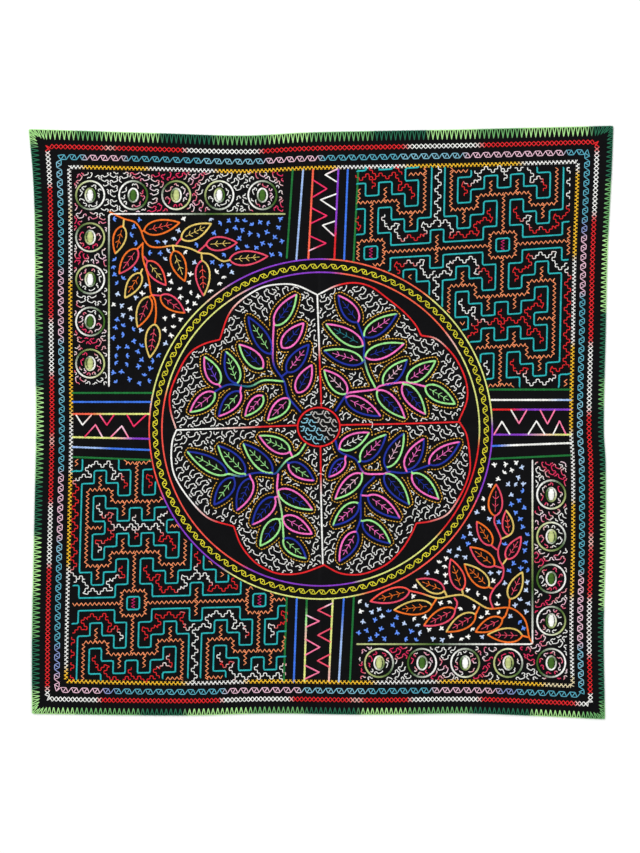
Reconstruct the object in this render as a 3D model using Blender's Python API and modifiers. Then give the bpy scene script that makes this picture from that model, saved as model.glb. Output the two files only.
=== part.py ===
"""A square embroidered cloth of dark cotton, lying flat with its worked face up.

One closed sheet: flat underneath, with a turned hem round its edge and a slightly
uneven face. Its four sides are bowed a little, as hand-sewn cloth is.

Metres, +Z up, worked face up. The origin is at the middle of the cloth's box, on the
surface it lies on. The stitching is finer than these solids and is not modelled here.
"""

import math

import bmesh
import bpy

MM = 0.001

# Thickness of the single cloth, and of the hem where it lies double
CLOTH_THICKNESS = 1.6 * MM
HEM_THICKNESS = 2.2 * MM
HEM_WIDTH = 9.0 * MM
HEM_SLOPE = 1.5 * MM

# The rim is rounded over by this much, and each corner in plan by this radius
RIM_ROUND = 0.5 * MM
CORNER_RADIUS = 5.0 * MM
CORNER_STEP = 2.0 * MM

# Cells across the field between the hems, each way
FIELD_CELLS = 24

# The corners, in mm from the middle: the cloth is a little narrower at its foot
CORNERS = {
    "top_left": (-349.5, 351.0),
    "top_right": (350.0, 355.0),
    "bottom_right": (340.0, -355.0),
    "bottom_left": (-345.5, -348.5),
}

# Each side runs between two corners. The rows say how far it bows outward from the
# straight line, as (share of the way along, bow in mm); the ends are at the corners.
SIDES = {
    "top": {
        "from": "top_left", "to": "top_right",
        "bow": [(0.0, 0.0), (0.22, -5.7), (0.37, -9.3), (0.47, -6.1), (0.59, -4.7), (0.74, -3.4), (1.0, 0.0)],
    },
    "bottom": {
        "from": "bottom_left", "to": "bottom_right",
        "bow": [(0.0, 0.0), (0.27, 0.2), (0.41, -3.1), (0.59, -2.9), (0.76, -5.3), (0.88, -3.2), (1.0, 0.0)],
    },
    "left": {
        "from": "bottom_left", "to": "top_left",
        "bow": [(0.0, 0.0), (0.14, -0.6), (0.36, -4.7), (0.49, -6.9), (0.68, -6.5), (0.84, -6.7), (0.93, -4.5),
                (1.0, 0.0)],
    },
    "right": {
        "from": "bottom_right", "to": "top_right",
        "bow": [(0.0, 0.0), (0.15, -3.1), (0.29, -2.1), (0.43, -3.6), (0.49, -6.4), (0.65, -5.7), (0.79, -4.7),
                (0.93, -1.2), (1.0, 0.0)],
    },
}

# Soft swells of the face, from the pull of the stitches
SWELLS = [
    {"length": 0.31, "angle": 20.0, "phase": 0.4, "height": 0.14 * MM},
    {"length": 0.17, "angle": 112.0, "phase": 1.9, "height": 0.10 * MM},
    {"length": 0.11, "angle": 65.0, "phase": 3.1, "height": 0.06 * MM},
]


def smooth_row_value(rows, share):
    """The value at a share along a table of (share, value) rows, on a smooth curve through them."""
    last = len(rows) - 2
    index = 0
    while index < last and share > rows[index + 1][0]:
        index += 1
    before = rows[max(index - 1, 0)]
    start = rows[index]
    end = rows[index + 1]
    after = rows[min(index + 2, last + 1)]
    width = end[0] - start[0]
    start_slope = (end[1] - before[1]) / (end[0] - before[0]) * width
    end_slope = (after[1] - start[1]) / (after[0] - start[0]) * width
    t = (share - start[0]) / width
    return (
        start[1] * (2 * t ** 3 - 3 * t ** 2 + 1)
        + start_slope * (t ** 3 - 2 * t ** 2 + t)
        + end[1] * (3 * t ** 2 - 2 * t ** 3)
        + end_slope * (t ** 3 - t ** 2)
    )


def side_point(name, share):
    """A point on one side of the cloth, in metres, at a share of the way along it."""
    side = SIDES[name]
    start = CORNERS[side["from"]]
    end = CORNERS[side["to"]]
    bow = smooth_row_value(side["bow"], share) * MM
    outward = {"top": (0, 1), "bottom": (0, -1), "left": (-1, 0), "right": (1, 0)}[name]
    x = (start[0] + (end[0] - start[0]) * share) * MM + outward[0] * bow
    y = (start[1] + (end[1] - start[1]) * share) * MM + outward[1] * bow
    return x, y


def sheet_point(u, v):
    """The plan position of a point of the cloth: u runs left to right, v from foot to head."""
    top, bottom = side_point("top", u), side_point("bottom", u)
    left, right = side_point("left", v), side_point("right", v)
    corners = [CORNERS[name] for name in ("bottom_left", "bottom_right", "top_left", "top_right")]
    shares = [(1 - u) * (1 - v), u * (1 - v), (1 - u) * v, u * v]
    blended = []
    for axis in (0, 1):
        across = (1 - v) * bottom[axis] + v * top[axis]
        along = (1 - u) * left[axis] + u * right[axis]
        square = sum(share * corner[axis] * MM for share, corner in zip(shares, corners))
        blended.append(across + along - square)
    return blended


def stations():
    """Distances in from one side to the other at which the sheet is divided."""
    width = (CORNERS["top_right"][0] - CORNERS["top_left"][0]) * MM
    rim = [0.0, CORNER_STEP, CORNER_RADIUS, HEM_WIDTH, HEM_WIDTH + HEM_SLOPE]
    field = width - 2 * rim[-1]
    inner = [rim[-1] + field * (i + 1) / FIELD_CELLS for i in range(FIELD_CELLS - 1)]
    return rim + inner + [width - d for d in reversed(rim)]


def corner_inset(along, width):
    """How far a rim point this far along its side, and close to a corner, is moved onto the corner's arc."""
    distance = min(along, width - along)
    if distance >= CORNER_RADIUS:
        return 0.0, 0.0
    angle = (1 - distance / CORNER_RADIUS) * math.radians(45)
    inward = CORNER_RADIUS * (1 - math.cos(angle))
    shift = CORNER_RADIUS * (1 - math.sin(angle)) - distance
    return inward, shift


def face_height(x, y, doubled):
    """Height of the worked face above the surface: hem or single cloth, plus the swells."""
    height = HEM_THICKNESS if doubled else CLOTH_THICKNESS
    for swell in SWELLS:
        angle = math.radians(swell["angle"])
        along = x * math.cos(angle) + y * math.sin(angle)
        height += swell["height"] * math.sin(2 * math.pi * along / swell["length"] + swell["phase"])
    return height


def place_sheet(bm, divisions):
    """Move the grid's points to their places on the cloth, and return the height of the face over each."""
    width = divisions[-1]
    count = len(divisions)
    hem_lines = 4
    heights = {}
    order = sorted(bm.verts, key=lambda vert: (round(vert.co.y, 4), round(vert.co.x, 4)))
    for number, vert in enumerate(order):
        row, column = divmod(number, count)
        x, y = sheet_point(divisions[column] / width, divisions[row] / width)
        if row in (0, count - 1):
            inward, shift = corner_inset(divisions[column], width)
            y += inward if row == 0 else -inward
            x += shift if column < count / 2 else -shift
        elif column in (0, count - 1):
            inward, shift = corner_inset(divisions[row], width)
            x += inward if column == 0 else -inward
            y += shift if row < count / 2 else -shift
        from_rim = min(row, column, count - 1 - row, count - 1 - column)
        vert.co = (x, y, 0.0)
        heights[vert] = face_height(x, y, from_rim < hem_lines)
    return heights


def centre_on_origin(bm):
    """Shift the sheet so the middle of its box is over the origin."""
    xs = [vert.co.x for vert in bm.verts]
    ys = [vert.co.y for vert in bm.verts]
    middle = ((min(xs) + max(xs)) / 2, (min(ys) + max(ys)) / 2)
    bmesh.ops.translate(bm, verts=bm.verts, vec=(-middle[0], -middle[1], 0.0))


def make_cloth_mesh():
    """A closed sheet: the flat underside, and the face raised over it by its own height at each point."""
    divisions = stations()
    cells = len(divisions) - 1
    bm = bmesh.new()
    bmesh.ops.create_grid(bm, x_segments=cells, y_segments=cells, size=1.0)
    heights = place_sheet(bm, divisions)
    places = {vert: (vert.co.x, vert.co.y) for vert in bm.verts}
    by_place = {place: heights[vert] for vert, place in places.items()}
    raised = bmesh.ops.extrude_face_region(bm, geom=bm.faces[:])
    for item in raised["geom"]:
        if isinstance(item, bmesh.types.BMVert):
            item.co.z = by_place[(item.co.x, item.co.y)]
    bmesh.ops.recalc_face_normals(bm, faces=bm.faces)
    centre_on_origin(bm)
    mesh = bpy.data.meshes.new("cloth")
    bm.to_mesh(mesh)
    bm.free()
    return mesh


def cotton_material():
    """Charcoal cotton: dull, with no shine."""
    material = bpy.data.materials.new("ground_cotton")
    material.use_nodes = True
    shader = material.node_tree.nodes["Principled BSDF"]
    shader.inputs["Base Color"].default_value = (0.012, 0.012, 0.013, 1.0)
    shader.inputs["Roughness"].default_value = 0.9
    shader.inputs["Metallic"].default_value = 0.0
    return material


def main():
    for old in list(bpy.data.objects):
        bpy.data.objects.remove(old, do_unlink=True)
    parts = bpy.data.collections.new("embroidered_cloth")
    bpy.context.scene.collection.children.link(parts)

    cloth = bpy.data.objects.new("cloth", make_cloth_mesh())
    cloth.data.materials.append(cotton_material())
    parts.objects.link(cloth)

    rim = cloth.modifiers.new("rounded rim", "BEVEL")
    rim.width = RIM_ROUND
    rim.segments = 1
    rim.limit_method = "ANGLE"
    rim.angle_limit = math.radians(40)
    cloth.data.shade_smooth()
    cloth.data.set_sharp_from_angle(angle=math.radians(35))


main()
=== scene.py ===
import math
import random

import bmesh
import bpy
import numpy as np
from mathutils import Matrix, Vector
from mathutils.kdtree import KDTree


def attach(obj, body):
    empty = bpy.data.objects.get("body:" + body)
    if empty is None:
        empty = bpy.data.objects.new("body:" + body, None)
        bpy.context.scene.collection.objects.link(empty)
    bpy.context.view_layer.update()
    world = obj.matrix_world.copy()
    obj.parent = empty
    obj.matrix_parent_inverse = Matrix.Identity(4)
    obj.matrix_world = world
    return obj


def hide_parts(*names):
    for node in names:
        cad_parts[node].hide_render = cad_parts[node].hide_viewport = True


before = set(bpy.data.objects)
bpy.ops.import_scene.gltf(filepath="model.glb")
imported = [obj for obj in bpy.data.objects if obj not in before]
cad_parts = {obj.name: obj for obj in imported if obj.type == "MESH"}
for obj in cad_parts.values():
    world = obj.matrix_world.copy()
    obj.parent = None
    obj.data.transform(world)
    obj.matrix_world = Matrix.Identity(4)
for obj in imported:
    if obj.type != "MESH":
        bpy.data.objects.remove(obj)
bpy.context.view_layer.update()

# An embroidered square cloth seen from above. Plan positions are in millimetres from the
# middle of the cloth, x to the right and y to its head; they become metres in one place.
MM = 0.001

# Heights of the worked face over the surface and the hem, in mm, as the cloth's solid has them
CLOTH_THICKNESS = 1.6
HEM_THICKNESS = 2.2
HEM_WIDTH = 9.0
HEM_SLOPE = 1.5
CORNER_RADIUS = 5.0
UNDERSIDE_GAP = 0.5
GRID_STEP = 4.6

# Rows of points in from the rim; how far the outermost is lowered from the face and raised from the
# underside; and how far the underside lies over the surface inside the hem. All in mm
RIM_STEPS = [0.0, 0.7, 2.0, 3.4, CORNER_RADIUS, 7.0, HEM_WIDTH, HEM_WIDTH + HEM_SLOPE]
RIM_DROP = 0.55
RIM_RISE = 0.35
FIELD_GAP = 0.05

CORNERS = {
    "top_left": (-349.5, 351.0),
    "top_right": (350.0, 355.0),
    "bottom_right": (340.0, -355.0),
    "bottom_left": (-345.5, -348.5),
}

# Rows are (share of the way along the side, bow outward in mm)
SIDES = {
    "top": {
        "from": "top_left", "to": "top_right", "outward": (0, 1),
        "bow": [(0.0, 0.0), (0.22, -5.7), (0.37, -9.3), (0.47, -6.1), (0.59, -4.7), (0.74, -3.4), (1.0, 0.0)],
    },
    "bottom": {
        "from": "bottom_left", "to": "bottom_right", "outward": (0, -1),
        "bow": [(0.0, 0.0), (0.27, 0.2), (0.41, -3.1), (0.59, -2.9), (0.76, -5.3), (0.88, -3.2), (1.0, 0.0)],
    },
    "left": {
        "from": "bottom_left", "to": "top_left", "outward": (-1, 0),
        "bow": [(0.0, 0.0), (0.14, -0.6), (0.36, -4.7), (0.49, -6.9), (0.68, -6.5), (0.84, -6.7),
                (0.93, -4.5),
                (1.0, 0.0)],
    },
    "right": {
        "from": "bottom_right", "to": "top_right", "outward": (1, 0),
        "bow": [(0.0, 0.0), (0.15, -3.1), (0.29, -2.1), (0.43, -3.6), (0.49, -6.4), (0.65, -5.7),
                (0.79, -4.7),
                (0.93, -1.2), (1.0, 0.0)],
    },
}

# Soft swells of the face: length and height in mm, direction in degrees, phase in radians
SWELLS = [
    {"length": 310.0, "angle": 20.0, "phase": 0.4, "height": 0.14},
    {"length": 170.0, "angle": 112.0, "phase": 1.9, "height": 0.10},
    {"length": 110.0, "angle": 65.0, "phase": 3.1, "height": 0.06},
]

# The cloth was kept folded in four: a faint crease runs each way across the middle. The ground's material
# also paints a highlight along each one.
CREASES = [
    {"across": 0, "at": -2.0, "width": 1.6, "height": 0.22},
    {"across": 1, "at": -8.0, "width": 1.6, "height": 0.12},
]

# Yarn colours
YARNS = {
    "lime": "#b4ec98", "leaf": "#74b870", "forest": "#1f7050", "mint": "#a8f098", "green": "#127a35",
    "olive": "#3f6a1c", "pale_olive": "#c6d08c", "red": "#ea2026", "coral": "#ff5a4c",
    "orange": "#ff6c4c", "salmon": "#ff9a66", "flame": "#f87a22", "crimson": "#f02c64",
    "berry": "#f0506e", "rose": "#ff7ea8", "magenta": "#ff2a86", "candy": "#ff78cc", "pink": "#fccfe2",
    "blush": "#f6c3ba", "white": "#fbfbf7", "grey": "#c9c6c2", "cream": "#f6e8bc", "butter": "#ecd070",
    "ochre": "#f2b63a", "gold": "#ffc92c", "acid": "#f7ee3a", "lemon": "#e8ee8c", "teal": "#64bed4",
    "turquoise": "#22b2b6", "sea": "#1f7f8c", "sky": "#8fcfe4", "ice": "#a9c6f4", "frost": "#c4d8f8",
    "iris": "#94a6dc", "cornflower": "#6496fa", "blue": "#3f7df0", "royal": "#1931a8",
    "violet": "#7a50e0", "purple": "#9540d4",
}


def srgb(code):
    """A colour code as linear red, green and blue."""
    values = [int(code[i:i + 2], 16) / 255 for i in (1, 3, 5)]
    return np.array([v / 12.92 if v <= 0.04045 else ((v + 0.055) / 1.055) ** 2.4 for v in values])


TINTS = {name: srgb(code) for name, code in YARNS.items()}


def blended(where, stops, colours):
    """Colours at these places, blended from stop to stop."""
    return np.stack([np.interp(where, stops, colours[:, channel]) for channel in range(3)], axis=-1)


def mixed_runs(runs, where, blend):
    """Colours of a variegated yarn at these places, from rows of (where a run starts, its colour)."""
    starts = [row[0] for row in runs]
    stops, colours = [], []
    for index, (start, name) in enumerate(runs):
        end = starts[index + 1] if index + 1 < len(runs) else start + 4 * blend
        soft = min(blend, abs(end - start)) / 2
        stops += [start + soft, end - soft]
        colours += [TINTS[name], TINTS[name]]
    return blended(where, stops, np.array(colours))


# The shape of the cloth

def smooth_row_values(rows, shares):
    """Values on a smooth curve through a table of (share, value) rows."""
    knots = np.array([row[0] for row in rows])
    values = np.array([row[1] for row in rows])
    slopes = np.empty(len(rows))
    slopes[1:-1] = (values[2:] - values[:-2]) / (knots[2:] - knots[:-2])
    slopes[0] = (values[1] - values[0]) / (knots[1] - knots[0])
    slopes[-1] = (values[-1] - values[-2]) / (knots[-1] - knots[-2])
    index = np.clip(np.searchsorted(knots, shares, side="right") - 1, 0, len(rows) - 2)
    width = knots[index + 1] - knots[index]
    t = (shares - knots[index]) / width
    return (
        values[index] * (2 * t ** 3 - 3 * t ** 2 + 1)
        + slopes[index] * width * (t ** 3 - 2 * t ** 2 + t)
        + values[index + 1] * (3 * t ** 2 - 2 * t ** 3)
        + slopes[index + 1] * width * (t ** 3 - t ** 2)
    )


def side_points(name, shares):
    """Points on one side of the cloth, in mm."""
    side = SIDES[name]
    start = np.array(CORNERS[side["from"]])
    end = np.array(CORNERS[side["to"]])
    bow = smooth_row_values(side["bow"], shares)
    return start + (end - start) * shares[:, None] + np.array(side["outward"]) * bow[:, None]


SIDE_ORDER = ("top", "bottom", "left", "right")
SIDE_LINES = {name: side_points(name, np.linspace(0, 1, 241)) for name in SIDES}
ALL_SIDES = np.concatenate(list(SIDE_LINES.values()))
PLAN_MIDDLE = (ALL_SIDES.min(axis=0) + ALL_SIDES.max(axis=0)) / 2


def inset_from_edge(points):
    """How far in from the nearest side each plan point lies, in mm."""
    x, y = points[..., 0], points[..., 1]
    top, bottom, left, right = (SIDE_LINES[name] for name in SIDE_ORDER)
    return np.minimum.reduce([
        np.interp(x, top[:, 0], top[:, 1]) - y,
        y - np.interp(x, bottom[:, 0], bottom[:, 1]),
        x - np.interp(y, left[:, 1], left[:, 0]),
        np.interp(y, right[:, 1], right[:, 0]) - x,
    ])


def face_height(points):
    """Height of the worked face over the surface at these plan points, in mm."""
    x, y = points[..., 0], points[..., 1]
    doubled = np.clip((HEM_WIDTH + HEM_SLOPE - inset_from_edge(points)) / HEM_SLOPE, 0, 1)
    height = CLOTH_THICKNESS + (HEM_THICKNESS - CLOTH_THICKNESS) * doubled
    for swell in SWELLS:
        angle = math.radians(swell["angle"])
        along = x * math.cos(angle) + y * math.sin(angle)
        height = height + swell["height"] * np.sin(2 * math.pi * along / swell["length"] + swell["phase"])
    for crease in CREASES:
        away = (points[..., crease["across"]] - crease["at"]) / crease["width"]
        height = height + crease["height"] * np.exp(-away ** 2)
    return height


def in_metres(points, heights):
    """Plan points and heights in mm as places in the scene."""
    plan = (np.asarray(points) - PLAN_MIDDLE) * MM
    return np.column_stack([plan, np.asarray(heights) * MM])


def add_object(name, data):
    """A new object with this data, linked to the scene."""
    made = bpy.data.objects.new(name, data)
    bpy.context.scene.collection.objects.link(made)
    return made


# Node trees, written as expressions

class Field:
    """A socket that takes part in sums: its operators add Math nodes to its tree."""

    def __init__(self, wiring, socket):
        self.wiring = wiring
        self.socket = socket

    def maths(self, operation, *values):
        return self.wiring.add("ShaderNodeMath", {"operation": operation}, dict(enumerate(values)))

    def __add__(self, other):
        return self.maths("ADD", self, other)

    def __radd__(self, other):
        return self.maths("ADD", other, self)

    def __sub__(self, other):
        return self.maths("SUBTRACT", self, other)

    def __rsub__(self, other):
        return self.maths("SUBTRACT", other, self)

    def __mul__(self, other):
        return self.maths("MULTIPLY", self, other)

    def __rmul__(self, other):
        return self.maths("MULTIPLY", other, self)

    def __truediv__(self, other):
        return self.maths("DIVIDE", self, other)

    def __pow__(self, other):
        return self.maths("POWER", self, other)

    def __rpow__(self, other):
        return self.maths("POWER", other, self)

    def __mod__(self, other):
        return self.maths("FLOORED_MODULO", self, other)

    def __gt__(self, other):
        return self.maths("GREATER_THAN", self, other)

    def sine(self):
        return self.maths("SINE", self)


class Wiring:
    """A node tree being built."""

    def __init__(self, tree):
        self.tree = tree

    def add(self, kind, settings=None, sockets=None, out=0):
        """A node of this type with its settings made, its sockets fed, and one of its outputs returned."""
        node = self.tree.nodes.new(kind)
        for name, value in (settings or {}).items():
            setattr(node, name, value)
        for name, value in (sockets or {}).items():
            self.feed(self.pick(node.inputs, name), value)
        return Field(self, self.pick(node.outputs, out))

    def pick(self, sockets, name):
        if isinstance(name, int):
            return sockets[name]
        return next(socket for socket in sockets if socket.name == name and socket.enabled)

    def feed(self, socket, value):
        if isinstance(value, Field):
            self.tree.links.new(value.socket, socket)
        else:
            socket.default_value = value

    def output(self, kind, name):
        """A node of this type that needs nothing fed, and one of its outputs."""
        return self.add(kind, out=name)

    def split(self, vector):
        """The X and Y of a vector."""
        node = self.tree.nodes.new("ShaderNodeSeparateXYZ")
        self.feed(node.inputs["Vector"], vector)
        return Field(self, node.outputs["X"]), Field(self, node.outputs["Y"])

    def attribute(self, name, out="Fac"):
        return self.add("ShaderNodeAttribute", {"attribute_name": name}, out=out)

    def stored(self, geometry, name, value):
        """The geometry with a value kept at each of its points under this name."""
        return self.add(
            "GeometryNodeStoreNamedAttribute", {"data_type": "FLOAT", "domain": "POINT"},
            {"Geometry": geometry, "Name": name, "Value": value},
        )

    def chance(self, low, high, seed):
        """A value for each element, by chance."""
        limits = {"Min": low, "Max": high, "Seed": seed}
        return self.add("FunctionNodeRandomValue", {"data_type": "FLOAT"}, limits, out="Value")

    def either(self, test, plain, tested):
        """One geometry, or another where the test holds."""
        choices = {"Switch": test, "False": plain, "True": tested}
        return self.add("GeometryNodeSwitch", {"input_type": "GEOMETRY"}, choices)

    def divided(self, curves, pitch):
        """Curves with points at an even pitch."""
        sockets = {"Curve": curves, "Length": pitch}
        return self.add("GeometryNodeResampleCurve", {"mode": "LENGTH"}, sockets)


# Geometry trees that sew

SOCKET_KINDS = {
    "Geometry": "NodeSocketGeometry", "Stitch Shape": "NodeSocketObject", "Yarn": "NodeSocketMaterial",
    "Sides": "NodeSocketInt", "Seed": "NodeSocketInt",
}


def sewing_tree(name, inputs):
    """A new geometry tree with these named inputs: its wiring and its input sockets."""
    tree = bpy.data.node_groups.new(name, "GeometryNodeTree")
    for title in ["Geometry"] + inputs:
        kind = SOCKET_KINDS.get(title, "NodeSocketFloat")
        tree.interface.new_socket(name=title, in_out="INPUT", socket_type=kind)
    tree.interface.new_socket(name="Geometry", in_out="OUTPUT", socket_type="NodeSocketGeometry")
    wiring = Wiring(tree)
    entry = tree.nodes.new("NodeGroupInput")
    given = {title: Field(wiring, entry.outputs[title]) for title in ["Geometry"] + inputs}
    return wiring, given


def finish_tree(wiring, geometry, yarn):
    """Ends a sewing tree: instances made real, smooth, in their yarn."""
    real = wiring.add("GeometryNodeRealizeInstances", {}, {"Geometry": geometry})
    smooth = wiring.add("GeometryNodeSetShadeSmooth", {}, {"Geometry": real})
    dressed = wiring.add("GeometryNodeSetMaterial", {}, {"Geometry": smooth, "Material": yarn})
    exit_node = wiring.tree.nodes.new("NodeGroupOutput")
    wiring.feed(exit_node.inputs["Geometry"], dressed)
    return wiring.tree


def spaced_lines(wiring, lines, pitch):
    """The drawn lines, divided anew at an even pitch, or left as drawn where the pitch is nought."""
    curves = wiring.add("GeometryNodeMeshToCurve", {}, {"Mesh": lines})
    remade = wiring.add("GeometryNodeCurveToMesh", {}, {"Curve": wiring.divided(curves, pitch)})
    return wiring.either(pitch > 0.0, lines, remade)


def stitch_tree():
    """A stitch along every edge of the lines: a shape set from end to end, as thick as the yarn."""
    wiring, given = sewing_tree(
        "stitches", ["Stitch Shape", "Pitch", "Yarn Width", "Overlap", "Slant", "Spread", "Seed", "Yarn"]
    )
    lines = spaced_lines(wiring, given["Geometry"], given["Pitch"])
    ends = wiring.tree.nodes.new("GeometryNodeInputMeshEdgeVertices")
    along = wiring.add(
        "ShaderNodeVectorMath", {"operation": "SUBTRACT"},
        {0: Field(wiring, ends.outputs["Position 2"]), 1: Field(wiring, ends.outputs["Position 1"])},
    )
    capture = wiring.tree.nodes.new("GeometryNodeCaptureAttribute")
    capture.domain = "EDGE"
    capture.capture_items.new("VECTOR", "Along")
    wiring.feed(capture.inputs["Geometry"], lines)
    wiring.feed(capture.inputs["Along"], along)
    held = Field(wiring, capture.outputs["Along"])
    edges = Field(wiring, capture.outputs["Geometry"])
    middles = wiring.add("GeometryNodeMeshToPoints", {"mode": "EDGES"}, {"Mesh": edges})
    upward = (0.0, 0.0, 1.0)
    turn = wiring.add(
        "FunctionNodeAxesToRotation", {"primary_axis": "X", "secondary_axis": "Z"},
        {"Primary Axis": held, "Secondary Axis": upward},
    )
    slant = wiring.add("FunctionNodeAxisAngleToRotation", {}, {"Axis": upward, "Angle": given["Slant"]})
    turned = wiring.add(
        "FunctionNodeRotateRotation", {"rotation_space": "LOCAL"}, {"Rotation": turn, "Rotate By": slant}
    )
    length = wiring.add("ShaderNodeVectorMath", {"operation": "LENGTH"}, {0: held}, out="Value")
    width = given["Yarn Width"] * wiring.chance(1.0 - given["Spread"], 1.0 + given["Spread"], given["Seed"])
    reach = length * given["Overlap"]
    size = wiring.add("ShaderNodeCombineXYZ", {}, {"X": reach, "Y": width, "Z": width})
    shape = wiring.add("GeometryNodeObjectInfo", {}, {"Object": given["Stitch Shape"]}, out="Geometry")
    marked = wiring.stored(middles, "shade", wiring.chance(0.0, 1.0, given["Seed"] + 7.0))
    marked = wiring.stored(marked, "slimness", reach / width)
    sockets = {"Points": marked, "Instance": shape, "Rotation": turned, "Scale": size}
    placed = wiring.add("GeometryNodeInstanceOnPoints", {}, sockets)
    return finish_tree(wiring, placed, given["Yarn"])


def laid_yarn_tree():
    """A yarn laid along the lines, drawn in a little at every stitch."""
    wiring, given = sewing_tree("laid_yarn", ["Pitch", "Yarn Width", "Waist", "Sides", "Seed", "Yarn"])
    curves = wiring.add("GeometryNodeMeshToCurve", {}, {"Mesh": given["Geometry"]})
    kept = wiring.either(given["Pitch"] > 0.0, curves, wiring.divided(curves, given["Pitch"]))
    upright = wiring.add("GeometryNodeSetCurveNormal", {"mode": "Z_UP"}, {"Curve": kept})
    drawn_in = 1.0 - (wiring.add("GeometryNodeInputIndex") % 2.0) * given["Waist"]
    marked = wiring.stored(upright, "shade", wiring.chance(0.0, 1.0, given["Seed"]))
    travelled = wiring.output("GeometryNodeSplineParameter", "Length")
    marked = wiring.stored(marked, "travelled", travelled / given["Yarn Width"])
    ring = wiring.add(
        "GeometryNodeCurvePrimitiveCircle", {"mode": "RADIUS"},
        {"Resolution": given["Sides"], "Radius": given["Yarn Width"] * 0.5},
    )
    ring = wiring.stored(ring, "turned", wiring.output("GeometryNodeSplineParameter", "Factor"))
    tube = wiring.add(
        "GeometryNodeCurveToMesh", {},
        {"Curve": marked, "Profile Curve": ring, "Scale": drawn_in, "Fill Caps": True},
    )
    return finish_tree(wiring, tube, given["Yarn"])


# Shapes of single stitches, a unit long and a yarn's width across

def stitch_shape(name, sides=5, rings=(-0.4, 0.0, 0.4), plump=(0.4, 0.5, 0.4), arch=0.42, dip=0.36):
    """A straight stitch: a plump closed tube, arched over the cloth, its ends going down into it."""
    points = [(-0.5, 0.0, -dip)]
    for x, radius in zip(rings, plump):
        rise = arch * (1 - (2 * x) ** 2) - dip * (2 * x) ** 2
        for side in range(sides):
            angle = 2 * math.pi * side / sides + math.pi / 2
            points.append((x, radius * math.cos(angle), rise + radius * math.sin(angle)))
    points.append((0.5, 0.0, -dip))
    last = len(points) - 1
    faces, marks = [], []
    stations = [-0.5] + list(rings) + [0.5]
    for side in range(sides):
        after = (side + 1) % sides
        turn, next_turn = side / sides, (side + 1) / sides
        faces.append((0, 1 + after, 1 + side))
        marks += [(0.0, turn), (stations[1] + 0.5, next_turn), (stations[1] + 0.5, turn)]
        for ring in range(len(rings) - 1):
            near, far = 1 + ring * sides, 1 + (ring + 1) * sides
            faces.append((near + side, near + after, far + after, far + side))
            at, beyond = stations[ring + 1] + 0.5, stations[ring + 2] + 0.5
            marks += [(at, turn), (at, next_turn), (beyond, next_turn), (beyond, turn)]
        tail = 1 + (len(rings) - 1) * sides
        faces.append((tail + side, tail + after, last))
        marks += [(stations[-2] + 0.5, turn), (stations[-2] + 0.5, next_turn), (1.0, turn)]
    return shape_object(name, points, faces, marks)


def link_shape(name, count=8, sides=4, length=3.0, half_width=0.62, reach=1.18):
    """One link of chain stitch: a closed loop of yarn, wide at its middle, tucked into the loop before it."""
    points = []
    for step in range(count):
        angle = 2 * math.pi * step / count
        pull = math.sin(angle) * (0.86 + 0.14 * math.cos(angle))
        centre = Vector((-0.5 * reach * math.cos(angle), half_width * pull, 0.16 - 0.16 * math.cos(angle)))
        outward = Vector((-math.cos(angle) * 0.55, math.sin(angle), 0.0)).normalized()
        for side in range(sides):
            around = 2 * math.pi * side / sides
            across = outward * (0.5 * math.cos(around))
            points.append((
                centre.x + across.x / length, centre.y + across.y, centre.z + 0.5 * math.sin(around)
            ))
    faces, marks = [], []
    for step in range(count):
        after = (step + 1) % count
        for side in range(sides):
            beside = (side + 1) % sides
            faces.append((
                step * sides + side, step * sides + beside, after * sides + beside, after * sides + side
            ))
            marks += [
                (step / count, side / sides), (step / count, (side + 1) / sides),
                ((step + 1) / count, (side + 1) / sides), ((step + 1) / count, side / sides),
            ]
    return shape_object(name, points, faces, marks)


def shape_object(name, points, faces, marks):
    """A stitch shape as an object, with a map of how far along and how far round its yarn each corner is."""
    mesh = bpy.data.meshes.new(name)
    mesh.from_pydata(points, [], faces)
    layer = mesh.uv_layers.new(name="ply")
    for loop, mark in zip(layer.data, marks):
        loop.uv = mark
    bm = bmesh.new()
    bm.from_mesh(mesh)
    bmesh.ops.recalc_face_normals(bm, faces=bm.faces)
    bm.to_mesh(mesh)
    bm.free()
    return add_object(name, mesh)


# Lines on the plan

class Path:
    """A line on the plan, measured along its length."""

    def __init__(self, points, closed=False):
        self.points = np.array(points, float)
        self.closed = closed
        if closed:
            self.points = np.vstack([self.points, self.points[:1]])
        steps = np.linalg.norm(np.diff(self.points, axis=0), axis=1)
        self.travelled = np.concatenate([[0.0], np.cumsum(steps)])
        self.length = self.travelled[-1]

    def at(self, along):
        along = np.asarray(along, float)
        if self.closed:
            along = np.mod(along, self.length)
        return np.stack([np.interp(along, self.travelled, self.points[:, axis]) for axis in (0, 1)], axis=-1)

    def place(self, along, aside):
        """Points this far along the line and this far to its left."""
        along = np.asarray(along, float)
        reach = 0.4
        ahead, behind = self.at(along + reach), self.at(along - reach)
        heading = ahead - behind
        heading = heading / np.maximum(np.linalg.norm(heading, axis=-1, keepdims=True), 1e-9)
        left = np.stack([-heading[..., 1], heading[..., 0]], axis=-1)
        return self.at(along) + left * np.asarray(aside, float)[..., None]

    def spaced(self, step):
        """Even points along it, and how far along each is."""
        count = max(int(round(self.length / step)), 1)
        along = np.linspace(0, self.length, count + 1)
        return self.at(along), along


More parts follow.
